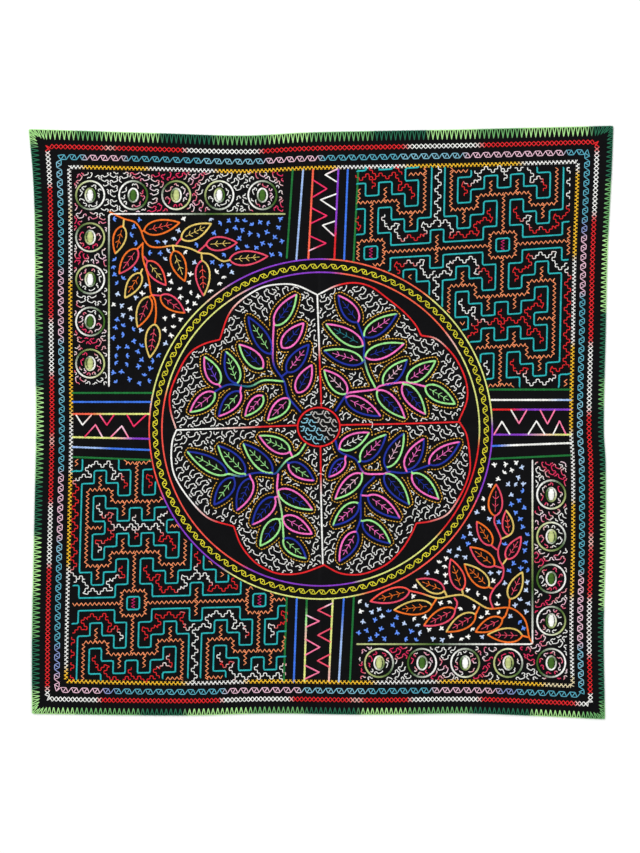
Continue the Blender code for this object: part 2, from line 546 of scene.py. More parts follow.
def smooth_through(points, per_span=8, closed=False):
    """A smooth line through a few points."""
    points = np.array(points, float)
    if closed:
        points = np.vstack([points[-1:], points, points[:2]])
    else:
        points = np.vstack([2 * points[0] - points[1], points, 2 * points[-1] - points[-2]])
    t = np.linspace(0, 1, per_span, endpoint=False)[:, None]
    spans = []
    for before, start, end, after in zip(points[:-3], points[1:-2], points[2:-1], points[3:]):
        spans.append(0.5 * (
            2 * start + (end - before) * t
            + (2 * before - 5 * start + 4 * end - after) * t ** 2
            + (3 * start - before - 3 * end + after) * t ** 3
        ))
    if not closed:
        spans.append(points[-2:-1])
    return np.vstack(spans)


def circle_points(centre, radius, count):
    angles = np.linspace(0, 2 * math.pi, count, endpoint=False)
    return np.array(centre) + radius * np.column_stack([np.cos(angles), np.sin(angles)])


def measured(base, tip):
    """The length from one place to another, its direction, and the direction to its left."""
    length = np.linalg.norm(tip - base)
    heading = (tip - base) / length
    return length, heading, np.array([-heading[1], heading[0]])


def inside(points, outline):
    """Which points lie inside a closed outline."""
    within = np.zeros(len(points), bool)
    near = np.all((points >= outline.min(axis=0)) & (points <= outline.max(axis=0)), axis=1)
    if near.any():
        x, y = points[near].T[:, :, None]
        x0, y0 = outline.T[:, None, :]
        x1, y1 = np.roll(outline, -1, axis=0).T[:, None, :]
        rise = np.where(y1 == y0, 1.0, y1 - y0)
        crosses = ((y0 > y) != (y1 > y)) & (x < (x1 - x0) * (y - y0) / rise + x0)
        within[near] = crosses.sum(axis=1) % 2 == 1
    return within


def runs_of(kept, shortest):
    """The numbers of the points in each stretch that is kept."""
    edges = np.flatnonzero(np.diff(np.concatenate([[0], kept.astype(int), [0]])))
    pieces = []
    for start, end in zip(edges[::2], edges[1::2]):
        if end - start >= shortest:
            pieces.append(np.arange(start, end))
    return pieces


def point_tree(points):
    """A search tree of plan points."""
    tree = KDTree(len(points))
    for index, (x, y) in enumerate(points):
        tree.insert((x, y, 0.0), index)
    tree.balance()
    return tree


def lines_tree(lines):
    """A search tree of points a millimetre apart along the lines."""
    return point_tree(np.vstack([Path(line).spaced(1.0)[0] for line in lines]))


def distance_to(tree, point):
    return tree.find((point[0], point[1], 0.0))[2]


class Clearance:
    """Lines that other work keeps clear of, each by its own distance."""

    def __init__(self):
        self.trees = []

    def keep_off(self, lines, gap):
        self.trees.append((lines_tree(lines), gap))

    def free(self, points):
        kept = np.ones(len(points), bool)
        for tree, gap in self.trees:
            for index in np.flatnonzero(kept):
                kept[index] = distance_to(tree, points[index]) >= gap
        return kept


# Patterns that run along a line, as (how far along, how far aside) in mm

def zigzag(path, period, height, start=0.0):
    count = max(int(round((path.length - start) / (period / 2))), 1)
    along = start + np.arange(count + 1) * (path.length - start) / count
    aside = np.where(np.arange(count + 1) % 2, 0.5, -0.5) * height
    return path.place(along, aside), along


# A repeat of the fret, charted as (along, aside) in mm; the next repeat starts FRET_PERIOD further on
FRET_REPEAT = [
    (0.3, 5.2), (2.0, 5.6), (3.1, 4.0), (4.4, 5.6), (6.0, 5.0), (6.3, 2.4), (4.3, 1.1), (4.5, -1.4),
    (6.5, -5.2), (8.2, -5.6), (9.3, -4.0), (10.6, -5.6), (12.2, -5.0), (12.5, -2.4), (10.5, -1.1),
    (10.7, 1.4),
]
FRET_PERIOD = 12.4


def fret(start, degrees, scale, repeats):
    """A winding line with a notched head to each turn, running in this direction from its start."""
    chart = np.array(FRET_REPEAT) * scale
    corners = np.vstack([chart + (turn * FRET_PERIOD * scale, 0.0) for turn in range(repeats)])
    angle = math.radians(degrees)
    turn = np.array([[math.cos(angle), math.sin(angle)], [-math.sin(angle), math.cos(angle)]])
    return np.asarray(start) + corners @ turn


def stair(path, step, rise, steps=3):
    """A stepped wave: up a few stairs and down again."""
    rows = []
    for number in range(steps):
        rows += [(number, number), (number + 1, number)]
    for number in range(steps, 0, -1):
        rows += [(2 * steps - number, number), (2 * steps - number + 1, number)]
    rows = np.array(rows, float)
    repeats = max(int(round(path.length / (2 * steps * step))), 1)
    scale = path.length / (2 * steps * repeats)
    along = np.concatenate([(rows[:, 0] + 2 * steps * turn) * scale for turn in range(repeats)])
    aside = np.tile((rows[:, 1] - steps / 2) * rise, repeats)
    return path.place(along, aside), along


# How far the middle of each kind of stitch lies over the face, in mm
CHAIN_LIFT = 0.25
STRAIGHT_LIFT = 0.3
FRET_LIFT = 0.35

# Sewing: the lines of one piece, gathered and then sewn by a tree

class Sewing:
    """Yarn lines on the plan, each point with its colour and its lift over the face."""

    def __init__(self):
        self.points, self.lifts, self.colours, self.edges = [], [], [], []
        self.count = 0

    def line(self, points, colour, lift=0.0, closed=False, sunk=0.0):
        points = np.asarray(points, float)
        count = len(points)
        if count < 2:
            return
        colour = TINTS[colour] if isinstance(colour, str) else colour
        lifts = np.array(np.broadcast_to(lift, (count,)), float)
        if sunk and not closed:
            lifts[[0, -1]] -= sunk
        numbers = np.arange(self.count, self.count + count)
        pairs = np.column_stack([numbers[:-1], numbers[1:]])
        if closed:
            pairs = np.vstack([pairs, [[numbers[-1], numbers[0]]]])
        self.points.append(points)
        self.lifts.append(lifts)
        self.colours.append(np.broadcast_to(colour, (count, 3)))
        self.edges.append(pairs)
        self.count += count

    def stitches(self, starts, ends, colour, lift=0.0):
        """Separate straight stitches, each from its start to its end."""
        starts, ends = np.atleast_2d(starts), np.atleast_2d(ends)
        count = len(starts)
        if not count:
            return
        self.points.append(np.stack([starts, ends], axis=1).reshape(-1, 2))
        self.lifts.append(np.full(2 * count, float(lift)))
        self.colours.append(np.repeat(np.broadcast_to(colour, (count, 3)), 2, axis=0))
        self.edges.append(self.count + np.arange(2 * count).reshape(-1, 2))
        self.count += 2 * count

    def drawn(self, name):
        """The lines as an object of bare edges, on the cloth's face."""
        points = np.vstack(self.points)
        places = in_metres(points, face_height(points) + np.concatenate(self.lifts))
        mesh = bpy.data.meshes.new(name)
        mesh.from_pydata(places.tolist(), np.vstack(self.edges).tolist(), [])
        tint = mesh.attributes.new("tint", "FLOAT_COLOR", "POINT")
        colours = np.vstack(self.colours)
        tint.data.foreach_set("color", np.column_stack([colours, np.ones(len(colours))]).ravel())
        return add_object(name, mesh)

    def sewn(self, name, tree, **inputs):
        """The piece: the drawn lines put through a sewing tree, as a plain mesh."""
        piece = self.drawn(name)
        modifier = piece.modifiers.new(tree.name, "NODES")
        modifier.node_group = tree
        for item in tree.interface.items_tree:
            key = item.name.lower().replace(" ", "_")
            if item.in_out == "INPUT" and key in inputs:
                modifier[item.identifier] = inputs[key]
        graph = bpy.context.evaluated_depsgraph_get()
        mesh = bpy.data.meshes.new_from_object(
            piece.evaluated_get(graph), preserve_all_data_layers=True, depsgraph=graph
        )
        piece.modifiers.clear()
        piece.data = mesh
        mesh.name = name
        print(f"sewn {name}: {sum(len(p.vertices) - 2 for p in mesh.polygons)} triangles")
        return piece


# Charts of the work. All plan places are in mm from the middle of the cloth.

# The bands of the border: how far in from the edge, and the yarn's colour runs along each side,
# as rows of (x along the head and foot or y along the sides, colour)
BORDERS = {
    "edge": {
        "depth": {"top": 10.2, "bottom": 7.4, "left": 8.6, "right": 6.2},
        "top": [(-348, "lime"), (-296, "leaf"), (-262, "lime"), (-194, "forest"), (-128, "leaf"),
                (-62, "lime"),
                (-14, "leaf"), (61, "forest"), (129, "lime"), (187, "leaf"), (242, "lime"), (322, "forest")],
        "bottom": [(-346, "lime"), (-294, "leaf"), (-217, "forest"), (-161, "lime"), (-85, "leaf"),
                   (-19, "forest"), (48, "lime"), (103, "leaf"), (179, "forest"), (252, "lime"),
                   (311, "leaf")],
        "left": [(-349, "lime"), (-321, "forest"), (-258, "leaf"), (-205, "lime"), (-136, "forest"),
                 (-70, "leaf"),
                 (-36, "lime"), (-26, "leaf"), (-14, "lime"), (42, "forest"), (109, "leaf"), (174, "lime"),
                 (198, "leaf"), (254, "forest"), (333, "lime")],
        "right": [(-352, "leaf"), (-334, "forest"), (-222, "lime"), (-106, "leaf"), (-60, "forest"),
                  (18, "leaf"),
                  (52, "forest"), (133, "lime"), (223, "leaf"), (290, "forest")],
    },
    "crosses": {
        "inset": 17.4, "pitch": {"top": 5.4, "bottom": 4.9, "left": 4.9, "right": 5.2},
        "top": [(-334, "red"), (-258, "blush"), (-248, "red"), (-163, "white"), (-73, "red"), (104, "white"),
                (191, "red")],
        "bottom": [(-329, "white"), (-266, "red"), (-119, "white"), (-36, "red"), (37, "blush"), (49, "red"),
                   (107, "white"), (191, "red"), (307, "white")],
        "left": [(-334, "white"), (-319, "red"), (-171, "white"), (-97, "red"), (-27, "blush"), (-17, "red"),
                 (57, "white"), (123, "red"), (284, "white"), (326, "red")],
        "right": [(-347, "white"), (-329, "red"), (-279, "white"), (-211, "red"), (-149, "blush"),
                  (-135, "red"),
                  (13, "white"), (95, "red"), (248, "white"), (325, "red")],
    },
    "scroll": {
        "inset": 28.6, "shares": (0.5, 0.2, 0.7), "height": 5.8,
        "pitch": {"top": 12.4, "bottom": 12.7, "left": 11.8, "right": 11.1},
        "top": [(-325, "teal"), (-283, "pink"), (-235, "teal"), (-145, "sky"), (-67, "pink"), (-1, "teal"),
                (95, "sky"), (173, "pink"), (293, "teal")],
        "bottom": [(-325, "pink"), (-262, "iris"), (-246, "teal"), (-115, "pink"), (-24, "sky"), (59, "teal"),
                   (134, "pink"), (212, "iris"), (236, "teal")],
        "left": [(-345, "pink"), (-302, "iris"), (-267, "teal"), (-165, "sky"), (-141, "pink"),
                 (-59, "teal"), (27, "sky"),
                 (99, "pink"), (184, "teal"), (267, "sky")],
        "right": [(-345, "sky"), (-268, "pink"), (-181, "teal"), (-57, "sky"), (27, "teal"), (153, "pink"),
                  (225, "iris"), (241, "teal")],
    },
    "herringbone": {
        "inset": 39.4, "pitch": {"top": 4.6, "bottom": 5.0, "left": 4.7, "right": 4.5},
        "top": [(-313, "white"), (-287, "gold"), (-208, "white"), (-127, "gold"), (19, "white"),
                (101, "gold"),
                (239, "white")],
        "bottom": [(-313, "gold"), (-160, "white"), (-89, "gold"), (66, "white"), (143, "gold"),
                   (269, "cream")],
        "left": [(-309, "gold"), (-296, "white"), (-175, "gold"), (-62, "white"), (0, "cream"), (9, "gold"),
                 (170, "white"), (238, "cream"), (257, "white")],
        "right": [(-321, "white"), (-208, "gold"), (-94, "white"), (-10, "gold"), (95, "white"),
                  (199, "gold"),
                  (302, "white")],
    },
}

# Stitches over the edge: how far apart, how far to each side of its middle a pair starts, and from how near a
# corner they fan out. Their course is (mm in from the rim, share of the depth in, height in mm); its first
# rows are under and round the rim, and the others ride on the face
EDGE = {"pitch": 5.6, "spread": 1.85, "fan": 22.0}
EDGE_ROUND_RIM = 4
EDGE_COURSE = [
    (2.4, 0.0, 0.46), (0.9, 0.0, 0.44), (-0.35, 0.0, 0.75), (-0.75, 0.0, 1.45), (-0.5, 0.0, 2.35),
    (0.8, 0.0, 2.75), (3.2, 0.0, 2.75), (0.0, 0.55, 2.70), (0.0, 0.9, 2.35), (0.5, 1.0, 1.30),
]

# The bands sit deeper at the head and the left side, by these mm at full depth
BAND_DRIFT = {"top": 2.6, "left": 2.0, "bottom": -1.8, "right": -1.0}

# Straight chain lines of the four striped panels: (start, end, colours from start to end)
STRIPES = [
    ((-33.6, 303.5), (-40.8, 197.0), ["green"]),
    ((-21.1, 303.5), (-29.3, 195.0), ["ice"]),
    ((-9.2, 303.5), (-14.9, 196.0), ["orange"]),
    ((21.1, 303.5), (16.3, 196.0), ["purple"] * 4 + ["red", "red"]),
    ((32.4, 303.5), (28.0, 195.0), ["blue"]),
    ((45.0, 303.5), (39.2, 193.0), ["green"]),
    ((-40.8, -210.0), (-44.4, -311.4), ["green"]),
    ((-28.8, -211.0), (-32.4, -311.4), ["blue"]),
    ((-16.8, -212.0), (-19.8, -311.4), ["green", "mint", "blush", "lemon", "lemon", "lemon"]),
    ((14.4, -212.0), (9.6, -311.4), ["lemon"] * 4 + ["blush"]),
    ((27.6, -211.0), (21.6, -311.4), ["blue", "ice", "ice"]),
    ((39.6, -209.0), (34.8, -311.4), ["green"]),
    ((-298.0, 35.4), (-202.0, 35.4), ["green"]),
    ((-298.0, 24.6), (-204.0, 24.6), ["blue"]),
    ((-298.0, 10.2), (-205.0, 10.2), ["orange", "orange", "lemon", "lemon", "lemon", "lemon"]),
    ((-298.0, -17.6), (-205.0, -19.6), ["lemon"] * 4 + ["blush", "purple", "purple"]),
    ((-298.0, -29.4), (-205.0, -33.0), ["ice", "ice", "blue", "blue", "blue"]),
    ((-298.0, -41.4), (-203.0, -45.0), ["green"]),
    ((202.0, 39.5), (301.0, 39.5), ["green"]),
    ((204.0, 27.0), (301.0, 27.0), ["white"] * 4 + ["ice"]),
    ((206.0, 15.5), (301.0, 15.5), ["red", "red"] + ["purple"] * 4),
    ((206.0, -14.6), (301.0, -14.6), ["purple", "purple", "blush", "lemon"]),
    ((205.0, -28.2), (301.0, -24.6), ["blue"] + ["white"] * 5),
    ((202.0, -43.8), (301.0, -39.2), ["green"]),
]

# Pointed marks between the stripes: (foot, tip, foot, colours), the middle colour at the tip
POINTS = [
    ((-9.8, 291.0), (7.2, 280.2), (-10.9, 269.4), ["crimson"]),
    ((-11.6, 257.4), (7.2, 247.8), (-12.7, 238.2), ["crimson"]),
    ((-13.5, 223.8), (6.2, 214.8), (-14.4, 205.8), ["crimson"] * 4 + ["pink"]),
    ((20.4, 304.2), (5.3, 297.0), (19.0, 288.5), ["pink", "pink", "white", "white"]),
    ((18.6, 274.0), (-0.3, 267.0), (18.0, 255.0), ["white"]),
    ((16.9, 241.3), (2.2, 236.4), (16.0, 223.6), ["white"] * 4 + ["pink"]),
    ((14.2, -216.6), (-3.6, -225.0), (13.4, -233.4), ["pink", "berry", "berry"]),
    ((12.7, -246.6), (-3.6, -255.0), (11.9, -263.4), ["berry"]),
    ((11.3, -277.8), (-4.0, -285.6), (10.5, -293.4), ["berry"]),
    ((-17.3, -231.0), (-1.8, -238.2), (-17.8, -245.4), ["pink", "rose", "rose"]),
    ((-18.2, -259.8), (-1.2, -269.4), (-18.8, -279.0), ["rose"]),
    ((-19.2, -291.0), (-2.0, -299.4), (-19.7, -307.8), ["rose"]),
    ((-293.3, 9.0), (-285.7, -3.0), (-274.5, 9.4), ["white", "white", "blush"]),
    ((-265.2, 9.4), (-256.5, -3.3), (-247.5, 9.6), ["rose", "crimson", "crimson"]),
    ((-232.5, 9.6), (-224.3, -4.8), (-208.8, 9.6), ["crimson"]),
    ((-283.2, -17.4), (-270.0, -2.7), (-261.7, -17.6), ["crimson", "rose", "pink"]),
    ((-252.0, -17.8), (-238.5, -4.2), (-230.3, -18.4), ["rose", "pink", "rose"]),
    ((228.0, 15.3), (237.6, -1.2), (247.2, 15.3), ["white", "white", "rose", "rose"]),
    ((262.8, 15.3), (271.8, -1.8), (280.8, 15.3), ["rose"]),
    ((207.6, -14.4), (217.2, 1.2), (226.8, -14.4), ["rose", "white", "white"]),
    ((248.4, -14.4), (258.6, 1.8), (268.8, -14.4), ["white"]),
    ((278.4, -14.4), (286.2, 1.8), (294.0, -14.4), ["white", "white", "rose", "rose"]),
]

# The ring: two chain lines with a scroll between. Runs are (degrees clockwise from the head, colour)
RING = {
    "centre": (-0.1, -7.9),
    "outer": {
        "radii": (205.7, 203.8),
        "runs": [(0, "purple"), (1.5, "orange"), (39, "lemon"), (87, "purple"), (114, "coral"),
                 (166, "lemon"),
                 (214, "purple"), (247, "coral"), (276, "blush"), (280, "lemon"), (318, "blush"),
                 (327, "purple")],
    },
    "scroll": {"radii": (198.6, 195.4), "period": 12.3, "height": 5.0, "shares": (0.44, 0.22, 0.64)},
    "inner": {
        "radii": (190.4, 188.0),
        "runs": [(0, "purple"), (6, "orange"), (53, "blush"), (60, "lemon"), (94, "red"), (132, "lemon"),
                 (166, "purple"), (208, "coral"), (284, "lemon"), (325, "blush"), (333, "purple")],
    },
}

# The eight lobes of the middle, and the lines that cross it: (points, colours from start to end)
LOBES = [
    ([(-121.1, 99.5), (-111.2, 127.8), (-97.8, 144.8), (-73.3, 160.7), (-51.2, 165.6), (-29.3, 164.4),
      (-4.8, 153.4)], ["red", "red", "blush"] + ["white"] * 5),
    ([(-3.2, 153.4), (20.0, 164.4), (42.0, 167.4), (61.6, 162.0), (78.7, 149.6), (98.4, 133.8),
      (112.8, 118.2),
      (120.4, 104.4)], ["white"] + ["red"] * 7),
    ([(120.4, 104.4), (137.5, 100.7), (152.3, 88.4), (164.4, 72.6), (174.2, 49.3), (175.4, 27.2),
      (165.6, 1.8)], ["red", "blush"] + ["red"] * 7),
    ([(166.4, 0.5), (175.2, -16.0), (179.2, -48.8), (176.4, -66.6), (167.8, -86.6), (152.4, -109.4),
      (132.4, -118.2), (114.7, -120.8)], ["red"] * 4 + ["blush", "red"]),
    ([(114.7, -120.8), (108.4, -134.6), (97.0, -152.4), (79.2, -169.8), (56.4, -180.1), (38.9, -182.6),
      (21.2, -180.1), (2.4, -170.0)], ["red"]),
    ([(2.9, -171.4), (-21.1, -180.1), (-41.3, -182.2), (-59.0, -178.9), (-79.2, -167.4), (-95.6, -147.4),
      (-104.4, -124.6)], ["red"]),
    ([(-104.4, -124.6), (-134.8, -114.6), (-157.6, -91.8), (-174.0, -66.6), (-179.0, -46.2), (-178.2, -23.4),
      (-172.8, -8.4)], ["red", "white", "white", "white"]),
    ([(-173.8, -7.1), (-179.9, 12.6), (-181.1, 32.2), (-173.8, 54.2), (-159.0, 81.1), (-141.8, 93.4),
      (-121.1, 99.5)], ["blush"] + ["red"] * 7),
]
CROSS_LINES = [
    ([(-4.2, 153.0), (-1.8, 86.0), (0.7, 19.2)], ["white", "white", "white", "red", "red", "red"]),
    ([(-0.4, -29.0), (0.6, -100.0), (2.4, -169.8)], ["red", "red", "white", "white", "white", "white"]),
    ([(-172.8, -9.0), (-101.0, -6.4), (-28.2, -3.4)], ["white", "white", "blush", "red", "red"]),
    ([(23.3, -3.0), (95.0, -1.6), (166.2, 0.6)], ["red"]),
]
DISC = {"centre": (-2.4, -5.4), "radii": (25.4, 23.3), "tint": "red"}

# Leaf sprays. Stems are (colour, points); leaves are (base x, base y, tip x, tip y, colours of the left
# side, the right side and the vein)
SPRAYS = {
    "north_east": {"stems": [
        ("royal", [(17.5, 13.8), (29.8, 32.1)]),
        ("candy", [(29.8, 32.1), (34.7, 35.8), (64.1, 39.5), (72.6, 44.4), (100.8, 48.1),
            (125.3, 43.2)]),
        ("mint", [(65.3, 41.9), (56.7, 59.1)]),
        ("royal", [(56.7, 59.1), (51.8, 78.7), (51.8, 98.3), (44.5, 119.1)]),
    ], "leaves": [
        (44.5, 120.3, 21.2, 152.1, "royal candy royal"),
        (51.8, 103.2, 91.0, 130.1, "mint royal candy"),
        (50.6, 92.1, 6.5, 117.9, "mint candy sea"),
        (53.0, 78.7, 99.6, 94.6, "mint candy royal"),
        (50.6, 72.6, 4.1, 86.0, "royal mint candy"),
        (75.1, 45.6, 103.2, 75.0, "mint royal pink"),
        (103.2, 49.3, 137.5, 73.8, "mint mint candy"),
        (31.0, 34.6, 4.1, 62.8, "mint candy pink"),
        (125.3, 43.2, 160.8, 22.3, "mint mint mint"),
        (98.4, 45.6, 125.3, 10.1, "mint candy royal"),
        (67.7, 38.3, 100.8, 5.2, "candy mint royal"),
        (29.8, 29.7, 71.4, 7.7, "candy royal candy"),
    ]},
    "north_west": {"stems": [
        ("royal", [(-24.3, 12.6), (-39.0, 30.9), (-43.9, 49.3), (-56.2, 68.9)]),
        ("candy", [(-56.2, 68.9), (-57.4, 93.4), (-56.2, 120.3)]),
        ("mint", [(-43.9, 49.3), (-68.4, 50.5)]),
        ("sea", [(-68.4, 50.5), (-85.6, 43.2)]),
        ("royal", [(-85.6, 43.2), (-110.1, 45.6), (-127.2, 37.0)]),
    ], "leaves": [
        (-55.0, 116.6, -29.2, 153.4, "candy mint royal"),
        (-59.9, 82.3, -86.8, 126.4, "royal royal mint"),
        (-46.4, 89.7, -20.7, 119.1, "candy candy royal"),
        (-40.3, 60.3, -14.5, 93.4, "royal royal candy"),
        (-69.6, 65.2, -97.8, 93.4, "mint candy royal"),
        (-28.0, 35.8, -10.9, 68.9, "candy candy royal"),
        (-100.3, 46.8, -113.7, 84.8, "royal mint mint"),
        (-122.3, 45.6, -139.4, 78.7, "candy mint violet"),
        (-127.2, 35.8, -156.6, 12.6, "mint candy candy"),
        (-96.6, 37.0, -122.3, 7.7, "candy royal mint"),
        (-69.6, 32.1, -90.5, 7.7, "mint candy candy"),
        (-37.8, 28.5, -63.5, 2.8, "mint candy candy"),
    ]},
    "south_east": {"stems": [
        ("royal", [(17.4, -21.0), (22.5, -34.9), (41.4, -43.7), (47.7, -55.1)]),
        ("candy", [(47.7, -55.1), (54.1, -61.4), (76.8, -61.4)]),
        ("royal", [(76.8, -61.4), (81.9, -58.9), (102.1, -60.2), (129.9, -51.3)]),
        ("royal", [(64.2, -65.2), (49.0, -82.9), (47.7, -114.5), (42.7, -129.6)]),
    ], "leaves": [
        (22.5, -31.1, 57.9, -12.2, "candy mint white"),
        (47.7, -46.3, 78.1, -14.7, "mint royal candy"),
        (78.1, -53.8, 99.5, -13.4, "royal mint pink"),
        (102.1, -56.4, 123.5, -19.7, "candy royal candy"),
        (129.9, -50.1, 166.5, -23.5, "candy royal candy"),
        (28.8, -43.7, 9.9, -65.2, "candy royal violet"),
        (49.0, -61.4, 17.4, -91.7, "mint candy pink"),
        (76.8, -61.4, 105.9, -98.1, "mint royal royal"),
        (109.6, -61.4, 141.2, -91.7, "mint candy royal"),
        (56.6, -87.9, 94.5, -114.5, "candy royal candy"),
        (45.2, -96.8, 14.9, -123.3, "royal mint candy"),
        (50.3, -118.3, 83.1, -144.8, "mint royal candy"),
        (42.7, -130.9, 22.5, -166.3, "royal candy candy"),
    ]},
    "south_west": {"stems": [
        ("mint", [(-18.4, -25.5), (-26.7, -37.4), (-39.8, -44.5)]),
        ("sea", [(-39.8, -44.5), (-49.3, -55.2)]),
        ("royal", [(-49.3, -55.2), (-55.3, -61.8), (-70.7, -60.0), (-82.6, -61.2), (-95.7, -64.7)]),
        ("mint", [(-95.7, -64.7), (-108.7, -61.8)]),
        ("candy", [(-51.1, -61.8), (-52.3, -81.4)]),
        ("mint", [(-52.3, -81.4), (-46.9, -107.5), (-44.6, -138.4)]),
    ], "leaves": [
        (-36.8, -35.0, -73.7, -16.0, "candy mint mint"),
        (-58.2, -60.0, -92.7, -25.5, "mint royal mint"),
        (-90.9, -61.2, -123.0, -27.9, "mint royal mint"),
        (-112.3, -61.8, -159.8, -35.0, "mint royal mint"),
        (-38.6, -49.3, -8.3, -69.5, "royal candy mint"),
        (-104.6, -66.5, -127.7, -98.6, "royal royal mint"),
        (-83.8, -67.1, -100.4, -105.1, "candy royal royal"),
        (-51.1, -81.4, -10.1, -104.5, "candy mint royal"),
        (-55.3, -89.7, -82.0, -122.3, "candy royal royal"),
        (-45.2, -113.4, -10.7, -133.6, "candy candy candy"),
        (-50.5, -115.8, -72.5, -147.9, "mint mint royal"),
        (-44.6, -139.6, -17.8, -162.7, "royal mint mint"),
    ]},
    "far_north_west": {"stems": [
        ("flame", [(-253.3, 252.7), (-236.8, 244.5), (-223.0, 240.3), (-216.1, 231.4), (-212.0, 219.7),
            (-205.1, 211.4), (-192.7, 210.0)]),
        ("butter", [(-192.7, 210.0), (-176.2, 212.1), (-156.9, 208.7), (-144.5, 203.2), (-132.1, 201.8),
            (-118.3, 193.5), (-108.7, 194.9)]),
        ("flame", [(-213.4, 215.6), (-213.4, 197.6), (-207.8, 178.4), (-205.1, 164.6), (-203.7, 155.0),
            (-198.9, 146.7), (-197.5, 131.5), (-198.9, 119.1)]),
        ("butter", [(-236.1, 243.1), (-236.8, 234.8)]),
        ("berry", [(-173.4, 213.5), (-167.2, 221.1)]),
        ("berry", [(-147.2, 204.5), (-137.6, 213.5)]),
        ("butter", [(-177.5, 212.1), (-176.2, 205.9)]),
        ("butter", [(-143.1, 201.8), (-142.4, 194.2)]),
        ("berry", [(-202.3, 152.9), (-192.7, 152.2)]),
        ("flame", [(-214.0, 214.2), (-220.2, 208.0)]),
        ("butter", [(-214.0, 183.9), (-216.1, 179.1)]),
        ("berry", [(-212.0, 199.0), (-207.8, 193.5)]),
    ], "leaves": [
        (-237.5, 235.5, -246.4, 202.5, "butter flame flame"),
        (-212.0, 230.0, -169.3, 239.7, "flame flame coral"),
        (-167.2, 220.4, -131.4, 238.3, "butter butter butter"),
        (-137.6, 213.5, -100.4, 215.6, "berry berry butter"),
        (-109.5, 195.4, -63.6, 199.3, "berry berry butter"),
        (-176.2, 205.9, -163.1, 169.4, "flame flame butter"),
        (-142.4, 194.2, -140.4, 152.2, "butter berry coral"),
        (-207.8, 193.5, -185.8, 164.6, "coral berry butter"),
        (-220.2, 208.0, -241.6, 178.4, "berry flame berry"),
        (-216.1, 179.1, -234.7, 149.4, "butter butter flame"),
        (-192.0, 152.2, -163.1, 131.5, "berry flame berry"),
        (-205.8, 150.8, -219.6, 114.3, "flame butter berry"),
        (-198.9, 117.8, -205.1, 77.8, "butter butter berry"),
    ]},
    "far_south_east": {"stems": [
        ("flame", [(254.0, -265.0), (249.8, -258.0), (248.3, -249.5), (245.3, -237.6), (236.4, -227.1),
            (224.4, -221.9), (205.0, -223.4)]),
        ("butter", [(205.0, -223.4), (196.1, -221.2), (184.1, -213.7), (170.7, -207.0), (157.3, -207.7),
            (142.4, -210.7), (133.4, -209.2)]),
        ("coral", [(133.4, -209.2), (120.0, -204.8), (106.5, -201.8)]),
        ("berry", [(206.5, -222.7), (202.8, -210.7), (208.0, -198.8), (217.0, -188.3), (219.2, -174.9),
            (214.0, -164.5), (212.5, -152.5), (216.2, -140.6), (212.5, -130.1), (208.0, -119.7),
            (208.8, -112.2)]),
        ("flame", [(225.9, -221.2), (226.7, -211.5)]),
        ("butter", [(151.3, -208.5), (148.3, -201.8)]),
        ("butter", [(170.7, -206.3), (169.2, -200.3)]),
        ("flame", [(138.6, -211.5), (133.4, -219.7)]),
        ("berry", [(160.3, -210.7), (164.0, -216.7), (161.0, -224.2)]),
        ("flame", [(190.1, -221.2), (185.6, -230.1)]),
        ("flame", [(224.4, -222.7), (221.5, -231.6), (217.7, -235.4)]),
        ("flame", [(248.3, -257.5), (241.6, -255.5)]),
        ("berry", [(211.0, -152.5), (204.3, -147.3)]),
        ("butter", [(216.2, -139.8), (225.9, -135.4)]),
        ("butter", [(218.5, -169.7), (222.9, -163.7)]),
        ("berry", [(218.5, -174.9), (208.0, -171.9)]),
        ("flame", [(206.5, -199.5), (201.3, -197.3)]),
    ], "leaves": [
        (208.8, -112.2, 210.3, -74.2, "flame berry berry"),
        (225.9, -135.4, 222.2, -105.5, "berry butter coral"),
        (204.3, -147.3, 187.1, -118.9, "berry flame flame"),
        (222.9, -163.7, 240.1, -136.9, "berry berry berry"),
        (208.0, -171.9, 178.9, -149.5, "berry flame flame"),
        (201.3, -197.3, 172.2, -169.7, "flame butter flame"),
        (169.2, -201.0, 155.8, -163.7, "berry coral flame"),
        (148.3, -201.8, 114.7, -188.3, "butter berry flame"),
        (106.5, -201.8, 59.5, -214.5, "berry coral flame"),
        (133.4, -219.7, 87.9, -224.9, "flame butter flame"),
        (161.0, -224.2, 123.7, -243.6, "berry flame berry"),
        (185.6, -230.1, 150.6, -251.0, "flame butter berry"),
        (217.7, -235.4, 185.6, -251.0, "flame flame berry"),
        (226.7, -211.5, 241.6, -179.4, "butter butter berry"),
        (241.6, -255.5, 200.0, -254.5, "flame butter berry"),
    ]},
}
MIDDLE_SPRAYS = ["north_east", "north_west", "south_east", "south_west"]

